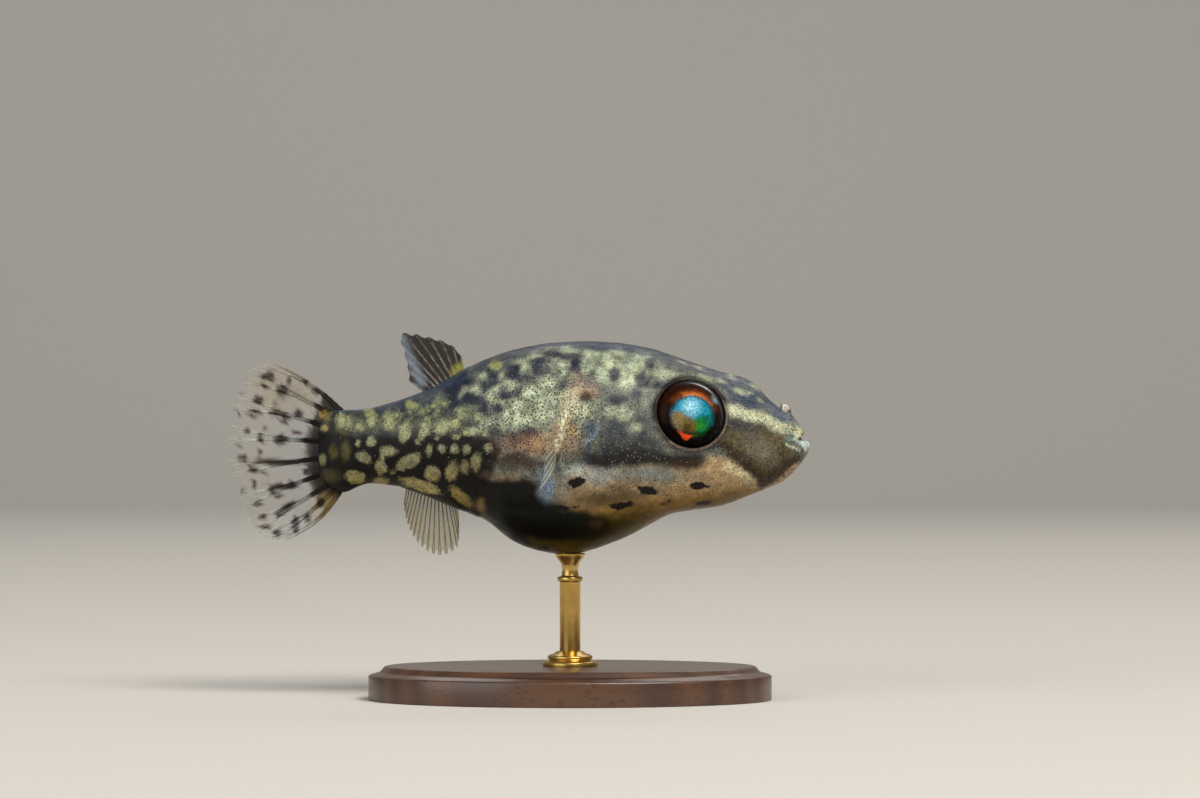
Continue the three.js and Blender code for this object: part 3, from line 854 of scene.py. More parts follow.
lay(coat, [
    ("6f6958", loose, (4.3, 0.5, 1.4, 0.9, -30), 1.6, 0.65),
    ("7d7768", loose, (3.7, -0.45, 0.7, 0.5, -30), 1.2, 0.5),
    ("34383f", loose, (5.4, 1.8, 1.2, 0.4, -12), 0.6, 0.7),
    ("2e2216", loose, (5.0, -0.9, 1.3, 0.5, -42), 1.0, 0.6),
    ("2c1e0f", loose, (0.26, SNOUT_EDGE), 0.8, 0.8),
    ("181614", loose, (0.55, [(16.6, -0.85), (14.2, -0.55), (12.2, -0.55), (10.3, -0.75),
     (8.9, -0.9)]), 0.6, 0.95),
    ("3d2c1c", loose, (9.8, -0.95, 1.2, 0.3), 0.5, 0.6),
    ("252321", loose, (14.4, 0.1, 2.7, 0.75), 1.1, 0.75),
])

# %% The snout's cream band, the lips, and the gill
lay(coat, [
    ("b8b997", loose, (0.42, [(6.4, 3.2), (5.0, 2.65), (3.8, 2.45), (2.3, 1.75)]), 0.5, 0.95),
    ("b2b190", loose, (2.0, 1.7, 0.7, 0.5, -30), 0.4, 0.8),
    ("5b6173", loose, (2.6, 2.75, 1.1, 0.3, -30), 0.35, 0.8),
])
wash(coat, "c3c4a2", 0.85 - np.hypot(behind - 0.7, above - 1.1), 0.6, 0.85)
wash(coat, "b7c9c4", 0.5 - np.hypot(behind - 0.4, above - 0.4), 0.4, 0.8)
lay(coat, [
    # teal painted shade in the fold behind the mouth's corner
    ("5d7673", firm, (1.55, 1.05, 0.22, 0.2), 0.15, 0.8),
    ("5d7673", firm, (1.85, 0.8, 0.2, 0.18), 0.15, 0.7),
    ("c6c8aa", firm, (0.07, [(1.95, 0.55), (1.35, 0.1), (0.9, -0.1)]), 0.12, 0.9),
    ("4a3020", firm, (0.05, [(1.45, 1.52), (1.05, 1.5)]), 0.12, 0.9),
    ("6f8a87", firm, (0.85, 1.88, 0.35, 0.12, -25), 0.15, 0.7),
    ("5a7a2a", firm, (0.66, 1.5, 0.14, 0.08), 0.1, 0.8),
    ("7a3a22", firm, (0.5, 1.15, 0.22, 0.2), 0.14, 0.85),
    # a dark blue painted shade in the mouth's corner
    ("33404c", firm, (0.10, [(1.55, 0.72), (1.15, 0.42), (0.8, 0.3)]), 0.14, 0.85),
    # a lavender painted highlight by the mouth's corner
    ("9aa0b4", firm, (1.02, 0.62, 0.22, 0.07, 5), 0.08, 0.8),
    ("4a3a26", firm, (0.72, 0.05, 0.16, 0.2), 0.12, 0.8),
    # a near-black painted shade in the gap between the lips
    ("1a120d", steady, (0.72, 0.84, 0.38, 0.13), 0.1, 0.95),
])
chin = np.interp(behind, [0.0, 1.2, 2.2, 3.6, 3.9], [-0.35, -1.12, -1.9, -2.75, -9.0])
wash(coat, "a58d74", chin - v, 0.25, 0.85)
lay(coat, [
    ("8a5a4a", steady, (1.5, 3.25, 0.16, 0.35), 0.2, 0.8),
    ("ddd6c8", steady, (1.95, 3.3, 0.3, 0.35), 0.25, 0.8),
])
GILL_GLEAM = [(16.3, 2.35), (16.32, 1.9), (16.45, 1.5), (16.7, 1.1), (17.1, 0.75), (17.5, 0.6)]
lay(coat, [
    ("b4b896", loose, (18.1, 3.0, 0.9, 0.7), 0.9, 0.65),
    ("545c6c", loose, (16.95, 1.7, 0.5, 0.6), 0.5, 0.85),
    ("8298a6", steady, (0.07, GILL_GLEAM), 0.26, 0.8),
    ("b9cfd6", steady, (17.05, 0.78, 0.3, 0.12, 40), 0.3, 0.7),
    ("50586c", loose, (0.2, [(17.1, 0.5), (17.3, -0.8)]), 0.5, 0.75),
    ("2a221d", loose, (17.5, -0.5, 0.35, 0.9, 80), 0.4, 0.6),
    ("a88c6c", loose, (0.42, [(18.3, 3.9), (18.7, 2.6), (19.3, 0.4)]), 0.7, 0.6),
    ("a8703c", loose, (19.5, 1.2, 0.3, 0.8), 0.5, 0.6),
    ("b48f5e", loose, (18.4, 1.4, 0.5, 0.6), 0.7, 0.7),
    ("d8d4b0", loose, (0.3, [(18.4, 3.6), (18.97, 2.07), (19.4, 0.6)]), 0.6, 0.7),
    ("efe8c6", firm, (0.15, [(18.7, 2.9), (18.97, 2.07), (19.45, 0.2)]), 0.28, 0.9),
    ("967a60", loose, (18.4, 0.4, 0.8, 0.7), 0.9, 0.4),
    ("17100c", firm, (19.35, -0.5, 0.45, 0.16, 80), 0.3, 0.95),
    ("65778e", loose, (20.25, -2.6, 0.5, 1.1), 0.7, 0.85),
    ("b4c2b4", loose, (18.1, -1.5, 0.55, 0.45), 0.6, 0.6),
    ("7d8688", loose, (18.9, -2.3, 0.4, 0.9), 0.7, 0.3),
])

# %% The eye's surround
for eye in eyes.values():
    off = points - np.array(eye.centre)
    out = off @ np.array(eye.out) / MM
    fore = off @ np.array(eye.fore) / MM
    up = off @ np.array(eye.up) / MM
    from_axis = np.hypot(fore, up)
    near_side = (out > -0.4) & (from_axis < 4.5)
    rim = np.where(near_side, 0.06 - np.abs(from_axis - 2.80), -1)
    wash(coat, "2a1d15", np.where(near_side, 3.0 - from_axis, -1), 0.6, 0.8)
    wash(coat, "8f8170", np.minimum(rim, (fore - up) * 0.3 - 0.1), 0.14, 0.7)
    top = np.minimum(3.1 - from_axis, up - 0.3 * fore - 0.2)
    wash(coat, "1b120d", np.where(near_side, top, -1), 0.6, 0.85)
    # the socket's lining and the rim's inner edge, where the skin tucks round the eyeball, are painted
    # near-black as painted shade
    wash(coat, "0c0806", np.where((out > -3) & (from_axis < 3), 2.665 - from_axis, -1), 0.03)

# %% Marks with an edge
STALK_SPOTS = [
    (34.75, 0.55, 0.22, 0.32), (33.75, 0.65, 0.42, 0.42),
    (34.3, -0.6, 0.7, 0.45, -35), (33.0, -1.35, 0.5, 0.6), (32.4, -0.1, 0.75, 0.4),
    (32.9, -0.6, 0.25, 0.4), (30.8, -0.9, 1.2, 0.55, 28), (35.0, -2.1, 0.85, 0.6, -8),
    (33.0, -2.4, 0.7, 0.35), (32.1, -1.7, 0.2, 0.2), (29.9, -2.75, 1.7, 0.5, -17),
    (28.95, -1.78, 0.66, 0.6, -20), (27.45, -1.55, 0.5, 0.85, -12), (26.5, -1.25, 0.38, 0.6),
    (25.6, -0.9, 0.42, 0.8, -12), (29.2, 0.0, 0.3, 0.5), (28.2, 0.1, 0.35, 0.4),
    (27.25, 0.1, 0.35, 0.4), (26.3, 0.1, 0.35, 0.4), (24.7, 0.2, 0.35, 0.4),
    (26.8, -3.55, 1.2, 0.48, -42), (36.1, 2.2, 0.5, 0.6), (35.4, 2.0, 0.4, 0.5),
    (34.7, 1.75, 0.45, 0.4), (33.65, 2.3, 0.5, 0.55), (32.3, 2.2, 0.55, 0.75),
    (31.8, 2.7, 0.5, 0.3), (31.1, 1.4, 0.9, 0.5, 75), (30.3, 3.3, 0.4, 0.35),
    (29.6, 1.6, 0.85, 0.45, 75), (29.0, 3.3, 0.5, 0.25), (28.3, 3.6, 0.5, 0.35),
    (28.1, 1.8, 0.9, 0.55, 25), (27.3, 2.0, 0.5, 0.5), (26.7, 2.9, 0.5, 0.5),
    (26.2, 1.4, 0.5, 0.35), (29.75, 2.9, 0.35, 0.28), (28.7, 2.9, 0.28, 0.3), (27.1, 1.0, 0.35, 0.25),
    (30.7, 2.9, 0.2, 0.3), (25.3, 2.5, 0.45, 0.3), (25.9, 3.3, 0.35, 0.2),
    (30.1, 0.6, 0.2, 0.25), (28.6, 0.9, 0.25, 0.2), (24.9, 1.3, 0.35, 0.3),
]
YELLOW_SPOTS = [(26.9, 6.5, 0.5, 0.35), (24.2, 6.5, 0.55, 0.35), (30.8, 3.5, 0.35, 0.35),
                (33.9, 2.9, 0.4, 0.3)]
DIM_SPOTS = [(35.75, -0.05, 0.35, 0.75), (36.75, -0.15, 0.3, 0.55), (35.9, 1.35, 0.25, 0.2)]
INK_SPOTS = [
    (18.0, -2.4, 0.78, 0.42, 10), (12.6, -3.0, 0.95, 0.36, -10), (15.3, -2.7, 0.35, 0.1),
    (8.65, -2.7, 0.85, 0.33), (8.25, -4.05, 0.7, 0.24, 8), (11.4, -4.1, 0.35, 0.12),
    (10.9, -3.85, 0.4, 0.14), (14.6, -4.15, 1.25, 0.33, 8), (19.2, -4.4, 0.95, 0.3),
    (18.0, -4.3, 0.5, 0.15), (16.3, -6.5, 1.0, 0.12, 15), (12.8, -5.1, 0.4, 0.08),
    (12.8, -5.6, 0.5, 0.12), (13.8, -6.3, 0.4, 0.1), (15.0, -6.6, 0.3, 0.1),
    (6.0, -4.05, 0.8, 0.08), (20.5, -7.5, 0.6, 0.2),
]
FAINT_SPOTS = [(16.2, -3.6, 0.6, 0.3), (16.5, -5.6, 0.5, 0.3), (6.2, -3.3, 0.5, 0.15),
               (11.1, -4.0, 0.6, 0.2), (15.2, -2.75, 0.6, 0.15)]

# the spots are gold under the stalk, grey on its side and green above
CREAM_COLOURS = [(-3.6, "7d6d3a"), (-2.4, "86794a"), (-1.2, "7f7a57"), (0.0, "7e7a5e"), (1.5, "9a9c74"),
                 (2.6, "9a9e70"), (3.8, "8e9664")]

yellow = soft(marks_field(edge_u, edge_v, YELLOW_SPOTS, 33), 0.3)
wash(coat, "8a8d56", yellow - 0.5, 1.0, 0.8)
wash(coat, "4d4724", marks_field(edge_u, edge_v, DIM_SPOTS, 38), 0.35, 0.9)
wash(coat, "4a3520", marks_field(edge_u, edge_v, FAINT_SPOTS, 34), 0.3, 0.55)
cream = marks_field(edge_u, edge_v, STALK_SPOTS, 35)
cream /= 1 + 1.6 * soft(above - 1.6, 1.6)
cream_colour = ramp(above, CREAM_COLOURS)
wash(cream_colour, "6a5a3e", oval(u, v, (26.6, -1.3), 1.2, 1.0), 1.0, 0.7)
wash(cream_colour, "9d905f", oval(u, v, (29.8, -2.8), 2.2, 0.9), 0.9, 0.7)
ink = marks_field(edge_u, edge_v, INK_SPOTS, 36)

# Stipple is dense on the light back, sparse and plain on the cheek, and thin under the belly.
dots = 0.29 + 0.09 * soft(oval(u, v, (20.5, 2.5), 5.0, 3.5), 2.0) + 0.08 * field(points, 0.9, 37)
dots += 0.14 * soft(0.5 - to_line(u, v, SNOUT_EDGE), 0.8)
dots -= 0.04 * soft(patch(u, v, THROAT), 0.8)
dots *= (1 - 0.8 * soft(-3.6 - v, 1.2) * soft(25.0 - u, 1.0)) * (1 - 0.12 * soft(u - 25.5, 3.0))
flecks = 0.25 + 0.5 * soft(oval(u, v, (14.0, 0.6), 3.4, 1.8), 1.5)
flecks += 0.25 * soft(oval(u, v, (4.0, 0.7), 2.4, 1.6), 1.2) + 0.3 * soft(above - 4.5, 2.0)
flecks *= (1 - soft(-0.9 - v, 0.8)) * (1 - 0.85 * soft(u - 24.5, 2.0))


def keep_on(piece, title, values):
    """Stores a number or a colour for each point of a piece."""
    if values.ndim == 1:
        layer = piece.data.attributes.new(title, "FLOAT", "POINT")
        layer.data.foreach_set("value", values.astype(np.float32))
        return
    layer = piece.data.attributes.new(title, "FLOAT_COLOR", "POINT")
    rgba = np.concatenate([np.clip(values, 0, 1), np.ones((len(values), 1))], axis=1)
    layer.data.foreach_set("color", rgba.astype(np.float32).ravel())


keep_on(skin, "coat", coat)
keep_on(skin, "cream_colour", cream_colour)
for title, values in (("cream", cream), ("ink", ink), ("dots", dots), ("flecks", flecks)):
    keep_on(skin, title, values)
print("painted", len(coat), "points; ink covers", int((ink > 0).sum()), "of them")

# %% [markdown]
# ## Finishes
# Every finish is built from nodes. One helper adds a node: its settings by name, and its
# inputs either as plain values or as another node's output to link from.

# %% The node helper
def new_finish(title):
    """An empty material with its output, and its node tree."""
    finish = bpy.data.materials.new(title)
    finish.use_nodes = True
    finish.node_tree.nodes.clear()
    return finish, finish.node_tree


def add(tree, kind, inputs=None, **settings):
    """Adds a node, sets it, and links or fills its inputs."""
    made = tree.nodes.new(kind)
    for key, value in settings.items():
        setattr(made, key, value)
    for key, value in (inputs or {}).items():
        if isinstance(value, bpy.types.NodeSocket):
            tree.links.new(value, made.inputs[key])
        else:
            made.inputs[key].default_value = value
    return made


def rgba(hex_colour):
    return (*linear(hex_colour), 1.0)


def per_mm(size):
    """The texture scale that makes a pattern's cells so many mm across."""
    return 1 / (size * MM)


def remap(tree, value, given, wanted, **settings):
    """Stretches a given range of values to the wanted one."""
    return add(tree, "ShaderNodeMapRange", {
        "Value": value, "From Min": given[0], "From Max": given[1],
        "To Min": wanted[0], "To Max": wanted[1]}, **settings).outputs[0]


def above_zero(tree, value, blur):
    """A mask that rises from 0 to 1 as the value passes zero."""
    return remap(tree, value, (-blur, blur), (0, 1), interpolation_type="SMOOTHSTEP")


def lumps(tree, place, size, detail, roughness=0.5):
    """Noise whose lumps are so many mm across."""
    return add(tree, "ShaderNodeTexNoise", {
        "Vector": place, "Scale": per_mm(size), "Detail": detail, "Roughness": roughness}).outputs["Fac"]


def arith(tree, operation, *values):
    return add(tree, "ShaderNodeMath", dict(enumerate(values)), operation=operation).outputs[0]


def over(tree, share, under, colour):
    """Lays a colour over another by a share."""
    return add(tree, "ShaderNodeMix", {"Factor": share, 6: under, 7: colour}, data_type="RGBA").outputs[2]


def times(tree, colour, factor):
    """A colour made lighter, darker or tinted by a number or another colour."""
    return add(tree, "ShaderNodeVectorMath", {0: colour, 1: factor}, operation="MULTIPLY").outputs["Vector"]


def dents(tree, height, strength, depth):
    """A bump so many mm deep."""
    return add(tree, "ShaderNodeBump", {
        "Height": height, "Strength": strength, "Distance": depth * MM}).outputs["Normal"]


def end_finish(tree, inputs):
    """Ends a finish with one shader of these inputs."""
    shader = add(tree, "ShaderNodeBsdfPrincipled", inputs)
    add(tree, "ShaderNodeOutputMaterial", {"Surface": shader.outputs["BSDF"]})


def dress(piece, finish, slot, *solids):
    """Gives a piece its finish, hangs it on the root, and hides the solids it stands for."""
    piece.data.materials.append(finish)
    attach(piece, "root")
    if solids:
        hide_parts(*solids)


# %% [markdown]
# ### Puffer skin under clear varnish
# The real skin is wet and scaleless. Pigment cells show as dark dots about 0.2 mm apart on the
# light parts, and as a few bright flecks where the skin is dark. A museum model is painted and
# varnished, which gives the same tight, slightly broken highlights. The grain of the skin is
# too fine for the mesh, so a bump carries it, with cells 0.3 mm across.

# %% Skin finish
SPECK = 0.15
CLOUD = 0.55
DOT_SPACING = 0.21
FLECK_SPACING = 0.21
GRAIN = 0.30

skin_finish, tree = new_finish("varnished_puffer_skin")
place = add(tree, "ShaderNodeTexCoord").outputs["Object"]
painted = {title: add(tree, "ShaderNodeAttribute", attribute_name=title)
           for title in ("coat", "cream", "cream_colour", "ink", "dots", "flecks")}

ragged = arith(tree, "MULTIPLY_ADD", lumps(tree, place, 0.22, 2.0), 0.34, -0.22)
cloudy = lumps(tree, place, 0.9, 4.0)
cream_edge = arith(tree, "ADD", painted["cream"].outputs["Fac"], ragged)
ink_edge = arith(tree, "ADD", painted["ink"].outputs["Fac"], ragged)

colour = painted["coat"].outputs["Color"]
uneven = remap(tree, cloudy, (0.38, 0.62), (0.8, 1.12))
cream_colour = times(tree, painted["cream_colour"].outputs["Color"], uneven)
colour = over(tree, above_zero(tree, cream_edge, 0.14), colour, cream_colour)
colour = over(tree, above_zero(tree, ink_edge, 0.06), colour, rgba("14100d"))

# the pigment cells give the paint a fine light-and-dark grain, and coarser cool and warm clouds
speck = remap(tree, lumps(tree, place, SPECK, 2.0, 0.7), (0.32, 0.68), (0.66, 1.42))
rough_paint = remap(tree, painted["dots"].outputs["Fac"], (0.12, 0.28), (0.35, 1.0))
speck = add(tree, "ShaderNodeMix", {"Factor": rough_paint, 2: 1.0, 3: speck}, data_type="FLOAT")
cloud = remap(tree, lumps(tree, place, CLOUD, 3.0), (0.35, 0.65), (0, 1))
tint = over(tree, cloud, (0.75, 0.78, 0.84, 1), (1.20, 1.19, 1.13, 1))
colour = times(tree, times(tree, colour, speck.outputs[0]), tint)

cells = add(tree, "ShaderNodeTexVoronoi", {
    "Vector": place, "Scale": per_mm(DOT_SPACING), "Randomness": 0.8})
dot = arith(tree, "SUBTRACT", painted["dots"].outputs["Fac"], cells.outputs["Distance"])
dot = arith(tree, "MULTIPLY", above_zero(tree, dot, 0.09), 0.8)
colour = over(tree, dot, colour, rgba("1f1b17"))

stars = add(tree, "ShaderNodeTexVoronoi", {"Vector": place, "Scale": per_mm(FLECK_SPACING)})
chosen = add(tree, "ShaderNodeSeparateColor", {"Color": stars.outputs["Color"]}).outputs["Red"]
chosen = arith(tree, "LESS_THAN", chosen, painted["flecks"].outputs["Fac"])
star = above_zero(tree, arith(tree, "SUBTRACT", 0.17, stars.outputs["Distance"]), 0.09)
star = arith(tree, "MULTIPLY", arith(tree, "MULTIPLY", star, chosen), 0.40)
colour = over(tree, star, colour, rgba("dfe3d0"))

grain = add(tree, "ShaderNodeTexVoronoi", {"Vector": place, "Scale": per_mm(GRAIN)})
end_finish(tree, {
    "Base Color": colour,
    "Roughness": remap(tree, cloudy, (0.3, 0.7), (0.34, 0.52)),
    "IOR": 1.33,
    "Specular IOR Level": 0.22,
    "Coat Weight": 0.05,
    "Coat Roughness": 0.22,
    "Normal": dents(tree, grain.outputs["Distance"], 0.35, 0.03),
})
dress(skin, skin_finish, "skin", *FLESH)
print("skin finish has", len(tree.nodes), "nodes")

# %% [markdown]
# ## Eyes
# The eye is the jewel of this fish: a black iris with an orange arc over the pupil, and a pupil
# with painted reflections of sky blue and green. It is made in two pieces, as glass eyes are: a
# globe whose front holds the flat iris and the bulging pupil, and over it a clear dome. Both
# are turned shapes, so a profile is drawn point by point and spun round the eye's axis.

# %% Turning a profile on the lathe
def lathe(title, profile, place, centre, axis, steps):
    """Spins a line of (radius, height) points round an axis into a closed piece."""
    piece = one_point(title)
    for i, (radius, height) in enumerate(profile):
        if i > 0:
            bpy.ops.mesh.extrude_vertices_move()
        for vert in bmesh.from_edit_mesh(piece.data).verts:
            if vert.select:
                vert.co = place(radius, 0.0, height)
    bpy.ops.mesh.select_all(action="SELECT")
    bpy.ops.mesh.spin(steps=steps, angle=2 * math.pi, center=centre, axis=axis)
    bpy.ops.mesh.select_all(action="SELECT")
    bpy.ops.mesh.remove_doubles(threshold=0.001 * MM)
    close(piece)
    return piece


# %% Globe and cornea
GLOBE = [(0, 1.42), (0.4, 1.40), (0.8, 1.33), (1.15, 1.22), (1.38, 1.12), (1.46, 1.06), (1.52, 1.02),
         (1.6, 1.00), (1.9, 0.88), (2.2, 0.70), (2.5, 0.42), (2.64, 0.20),
         (2.70, -0.1), (2.5, -0.8), (1.7, -1.4), (0.8, -1.6), (0, -1.65)]
CORNEA_THICK = 0.1
CORNEA_RIM = 2.80
CORNEA_RINGS = 9


def cornea_profile():
    """Down the outside of the dome, round its rim and back up the inside."""
    radii = [CORNEA_RIM * math.sin(math.pi / 2 * i / CORNEA_RINGS) for i in range(CORNEA_RINGS + 1)]
    outside = [(radius, ball_height(radius * MM) / MM) for radius in radii]
    inside = [(radius - CORNEA_THICK if radius else 0, out - CORNEA_THICK) for radius, out in outside]
    return outside + inside[::-1]


def eye_piece(title, profile, eye):
    """One turned piece of an eye, smooth all over."""
    def place(radius, turn, out):
        return eye.place(radius * MM, turn, out * MM)
    piece = lathe(title, profile, place, eye.centre, eye.out, 48)
    finish_with(piece, "SUBSURF", levels=1, render_levels=1)
    bpy.ops.object.shade_smooth()
    return piece


SIDE_NAME = {RIGHT: "right", LEFT: "left"}
globes = {}
corneas = {}
for side, eye in eyes.items():
    globes[side] = eye_piece("eye_globe_" + SIDE_NAME[side], GLOBE, eye)
    finish_with(globes[side], "SUBSURF", levels=1, render_levels=1)
    corneas[side] = eye_piece("cornea_" + SIDE_NAME[side], cornea_profile(), eye)
    print(globes[side].name, len(globes[side].data.polygons), "faces,",
          corneas[side].name, len(corneas[side].data.polygons))

# %% Paint the iris, and the pupil's painted reflections
# the pupil gets painted reflections in blue, green and tan, and a pale painted highlight near its top
# the colour, its middle and its size in mm, how blurred and how strong it is
PUPIL_GLEAMS = [
    ("2580a6", 9.3, 2.7, 2.0, 0.1, 1.0),
    ("1b93a6", 8.0, 3.0, 0.9, 1.0, 0.9),
    ("2a93ac", 10.3, 3.3, 0.7, 0.8, 0.7),
    ("0f5c78", 8.9, 4.1, 0.3, 0.6, 0.6),
    ("125c2c", 8.2, 1.5, 1.15, 0.7, 0.95),
    ("238a1e", 8.75, 1.75, 0.6, 0.8, 0.85),
    ("6f5c30", 10.25, 1.7, 1.25, 0.6, 1.0),
    ("8a7a48", 10.3, 2.35, 0.5, 0.7, 0.8),
    ("6b5a2a", 9.5, 1.75, 0.5, 0.8, 0.9),
    ("2f220b", 9.6, 1.65, 0.25, 0.6, 0.8),
    ("8ed6ea", 9.3, 3.3, 0.62, 0.9, 0.9),
    ("c4eef6", 9.5, 3.35, 0.25, 0.5, 0.6),
]
IRIS_U, IRIS_V = 9.3, 2.55

for side, globe in globes.items():
    places = points_of(globe)
    eye_u, eye_v, _ = read_places(places)
    eye_u = eye_u + 0.06 * field(places, 0.35, 41)
    eye_v = eye_v + 0.06 * field(places, 0.35, 42)
    iris = np.tile(linear("0a0605"), (len(places), 1))
    ring = np.hypot(eye_u - IRIS_U, eye_v - IRIS_V)
    from_top = np.degrees(np.arctan2(IRIS_U - eye_u, eye_v - IRIS_V))
    wash(iris, "2a1208", 0.75 - np.abs(ring - 2.2) + (eye_v - 3.8) * 0.4, 0.9, 0.9)
    arc = np.minimum(0.24 - np.abs(ring - 1.80), (60 - np.abs(from_top - 12)) / 60)
    wash(iris, "66330f", arc, 0.5)
    wash(iris, "b55c1e", np.minimum(0.13 - np.abs(ring - 1.78), (40 - np.abs(from_top - 18)) / 40), 0.3)
    wash(iris, "c9813f", np.minimum(0.06 - np.abs(ring - 1.70), (20 - np.abs(from_top - 5)) / 40), 0.15,
         0.6)
    disc = 1.45 - np.hypot(eye_u - 9.25, (eye_v - 2.62) * 1.04)
    wash(iris, "060606", disc + 0.1, 0.1)
    for hue, middle_u, middle_v, size, blur, strength in PUPIL_GLEAMS:
        spot = size - np.hypot(eye_u - middle_u, eye_v - middle_v)
        wash(iris, hue, np.minimum(disc, spot), blur, strength)
    # the pupil's painted reflection darkens to black along its bottom
    wash(iris, "0a0a06", np.minimum(disc + 0.1, 1.42 - eye_v), 0.4, 0.9)
    wash(iris, "e04a1c", patch(eye_u, eye_v, [(10.4, 1.55), (9.95, 1.3), (9.15, 1.12), (9.75, 0.78)]),
         0.12)
    # a small pale blue painted glint on the iris's upper front edge
    wash(iris, "8fb4cc", oval(eye_u, eye_v, (7.45, 3.85), 0.32, 0.16, -50), 0.25, 0.7)
    keep_on(globe, "iris", iris)

# %% [markdown]
# The globe is painted resin with a satin face, its paint broken into fine painted glints and
# glowing faintly as painted light. The dome is clear acrylic. In a render a real refracting dome
# would need many light bounces to brighten the iris behind it, so the dome is plain transparent
# with a mirror gloss that grows at grazing angles.

# %% Eye finishes
iris_finish, tree = new_finish("painted_resin_iris")
place = add(tree, "ShaderNodeTexCoord").outputs["Object"]
paint = add(tree, "ShaderNodeAttribute", attribute_name="iris")
# painted glints: the paint is lighter at the middle of each small cell and darker at its edge
glints = add(tree, "ShaderNodeTexVoronoi", {"Vector": place, "Scale": per_mm(0.13)})
lit = times(tree, paint.outputs["Color"], remap(tree, glints.outputs["Distance"], (0, 0.8), (1.3, 0.5)))
# the paint also glows faintly, as painted light
end_finish(tree, {"Base Color": lit, "Roughness": 0.8, "Specular IOR Level": 0.0,
                  "Emission Color": lit, "Emission Strength": 0.08})

dome_finish, tree = new_finish("clear_acrylic_dome")
fresnel = add(tree, "ShaderNodeFresnel", {"IOR": 1.11}).outputs["Fac"]
clear = add(tree, "ShaderNodeBsdfTransparent", {"Color": (1, 1, 1, 1)})
gloss = add(tree, "ShaderNodeBsdfAnisotropic", {"Roughness": 0.34, "Color": (0.6, 0.6, 0.6, 1)})
mixed = add(tree, "ShaderNodeMixShader", {0: fresnel, 1: clear.outputs[0], 2: gloss.outputs[0]})
add(tree, "ShaderNodeOutputMaterial", {"Surface": mixed.outputs["Shader"]})

for side in eyes:
    dress(globes[side], iris_finish, "eye", "eye_" + SIDE_NAME[side])
    dress(corneas[side], dome_finish, "eye")

# %% [markdown]
# ## Fins
# A fin is a fan of jointed bony rays with a film of skin between them. Each fin has a plan: the
# line of its root, the curve of its rim, and how many rays it has. The plan turns two shares
# into a place: how far along a ray, and how far across the fan. The film is woven from one edge
# of the fan to the other by extruding a strip of edges, and the rays are bent from copies of
# one straight rod. They branch towards the rim, as a fish's soft rays do.

# %% Fin plans
def curve_through(points, steps=12):
    """Points of a smooth curve through the given ones."""
    ends = np.array([points[0], *points, points[-1]], dtype=float)
    dense = []
    for before, start, stop, after in zip(ends, ends[1:], ends[2:], ends[3:]):
        for step in range(steps):
            t = step / steps
            dense.append(0.5 * (2 * start + (stop - before) * t
                                + (2 * before - 5 * start + 4 * stop - after) * t ** 2
                                + (3 * start - before - 3 * stop + after) * t ** 3))
    return np.array([*dense, ends[-1]])


class FinPlan:
    """A fin laid flat: x runs towards the snout or away from the body, y upwards, in mm."""

    def __init__(self, root_from, root_to, rim, rays, lay, bulge=0.0, wave=0.15, fray=0.05):
        """Rays is how many there are, evenly spaced, or a list of their shares across the fan."""
        self.root_from = np.array(root_from)
        self.root_to = np.array(root_to)
        self.rim = curve_through(rim)
        run = np.hypot(*np.diff(self.rim, axis=0).T)
        self.rim_share = np.concatenate([[0], np.cumsum(run)]) / run.sum()
        self.rays = np.linspace(0, 1, rays) if isinstance(rays, int) else np.array(rays)
        self.lay = lay
        self.bulge = bulge
        self.wave = wave
        self.fray = fray

    def flat(self, along, across):
        """The plan's x and y at shares along the rays and across the fan."""
        root = self.root_from + (self.root_to - self.root_from) * across[:, None]
        rim = np.stack([np.interp(across, self.rim_share, self.rim[:, i]) for i in (0, 1)], axis=1)
        way = (rim - root) / np.linalg.norm(rim - root, axis=1)[:, None]
        aside = np.stack([way[:, 1], -way[:, 0]], axis=1)
        push = self.bulge * np.sin(math.pi * along) * (1 - 2 * across) ** 3
        return root + (rim - root) * along[:, None] + aside * push[:, None]

    def place(self, along, across, lift=0.0):
        """Points in the frame. The film stands a little higher at each ray, and waves."""
        along = np.asarray(along, dtype=float)
        across = np.broadcast_to(np.asarray(across, dtype=float), along.shape)
        count = np.interp(across, self.rays, range(len(self.rays)))
        pleat = 0.05 * np.cos(2 * math.pi * count)
        swell = self.wave * np.sin(2 * math.pi * (1.2 * across + 0.35 * along))
        flat = self.flat(along, across)
        return self.lay(flat[:, 0], flat[:, 1], (pleat + swell) * along + lift)


PECTORAL_LEAN = 0.28
PECTORAL_BEHIND = 19.1
PECTORAL_ABOVE = 0.8
PECTORAL_OUT = 6.3


def lay_midline(x, y, lift):
    """A fin of the midline, swung with the tail."""
    return np.stack([SNOUT + x * MM, (sway(-x) + lift) * MM, AXIS + y * MM], axis=1)


def beside(side, sweep):
    """A paired fin, which stands out from the flank with its upper edge leaning forwards."""
    lean = Matrix.Rotation(side * PECTORAL_LEAN, 4, "X")
    turn = Matrix.Rotation(side * (math.pi / 2 + sweep), 4, "Z")
    root = on_fish(PECTORAL_BEHIND, PECTORAL_ABOVE, side * PECTORAL_OUT)
    matrix = np.array(Matrix.Translation(root) @ turn @ lean)

    def lay(x, y, lift):
        local = np.stack([x, lift + 0 * x, y], axis=1) * MM
        return local @ matrix[:3, :3].T + matrix[:3, 3]
    return lay


PECTORAL_RIM = [(3.1, 3.9), (4.5, 2.8), (5.1, 0.8), (4.9, -1.4), (3.9, -3.3), (2.7, -3.9)]

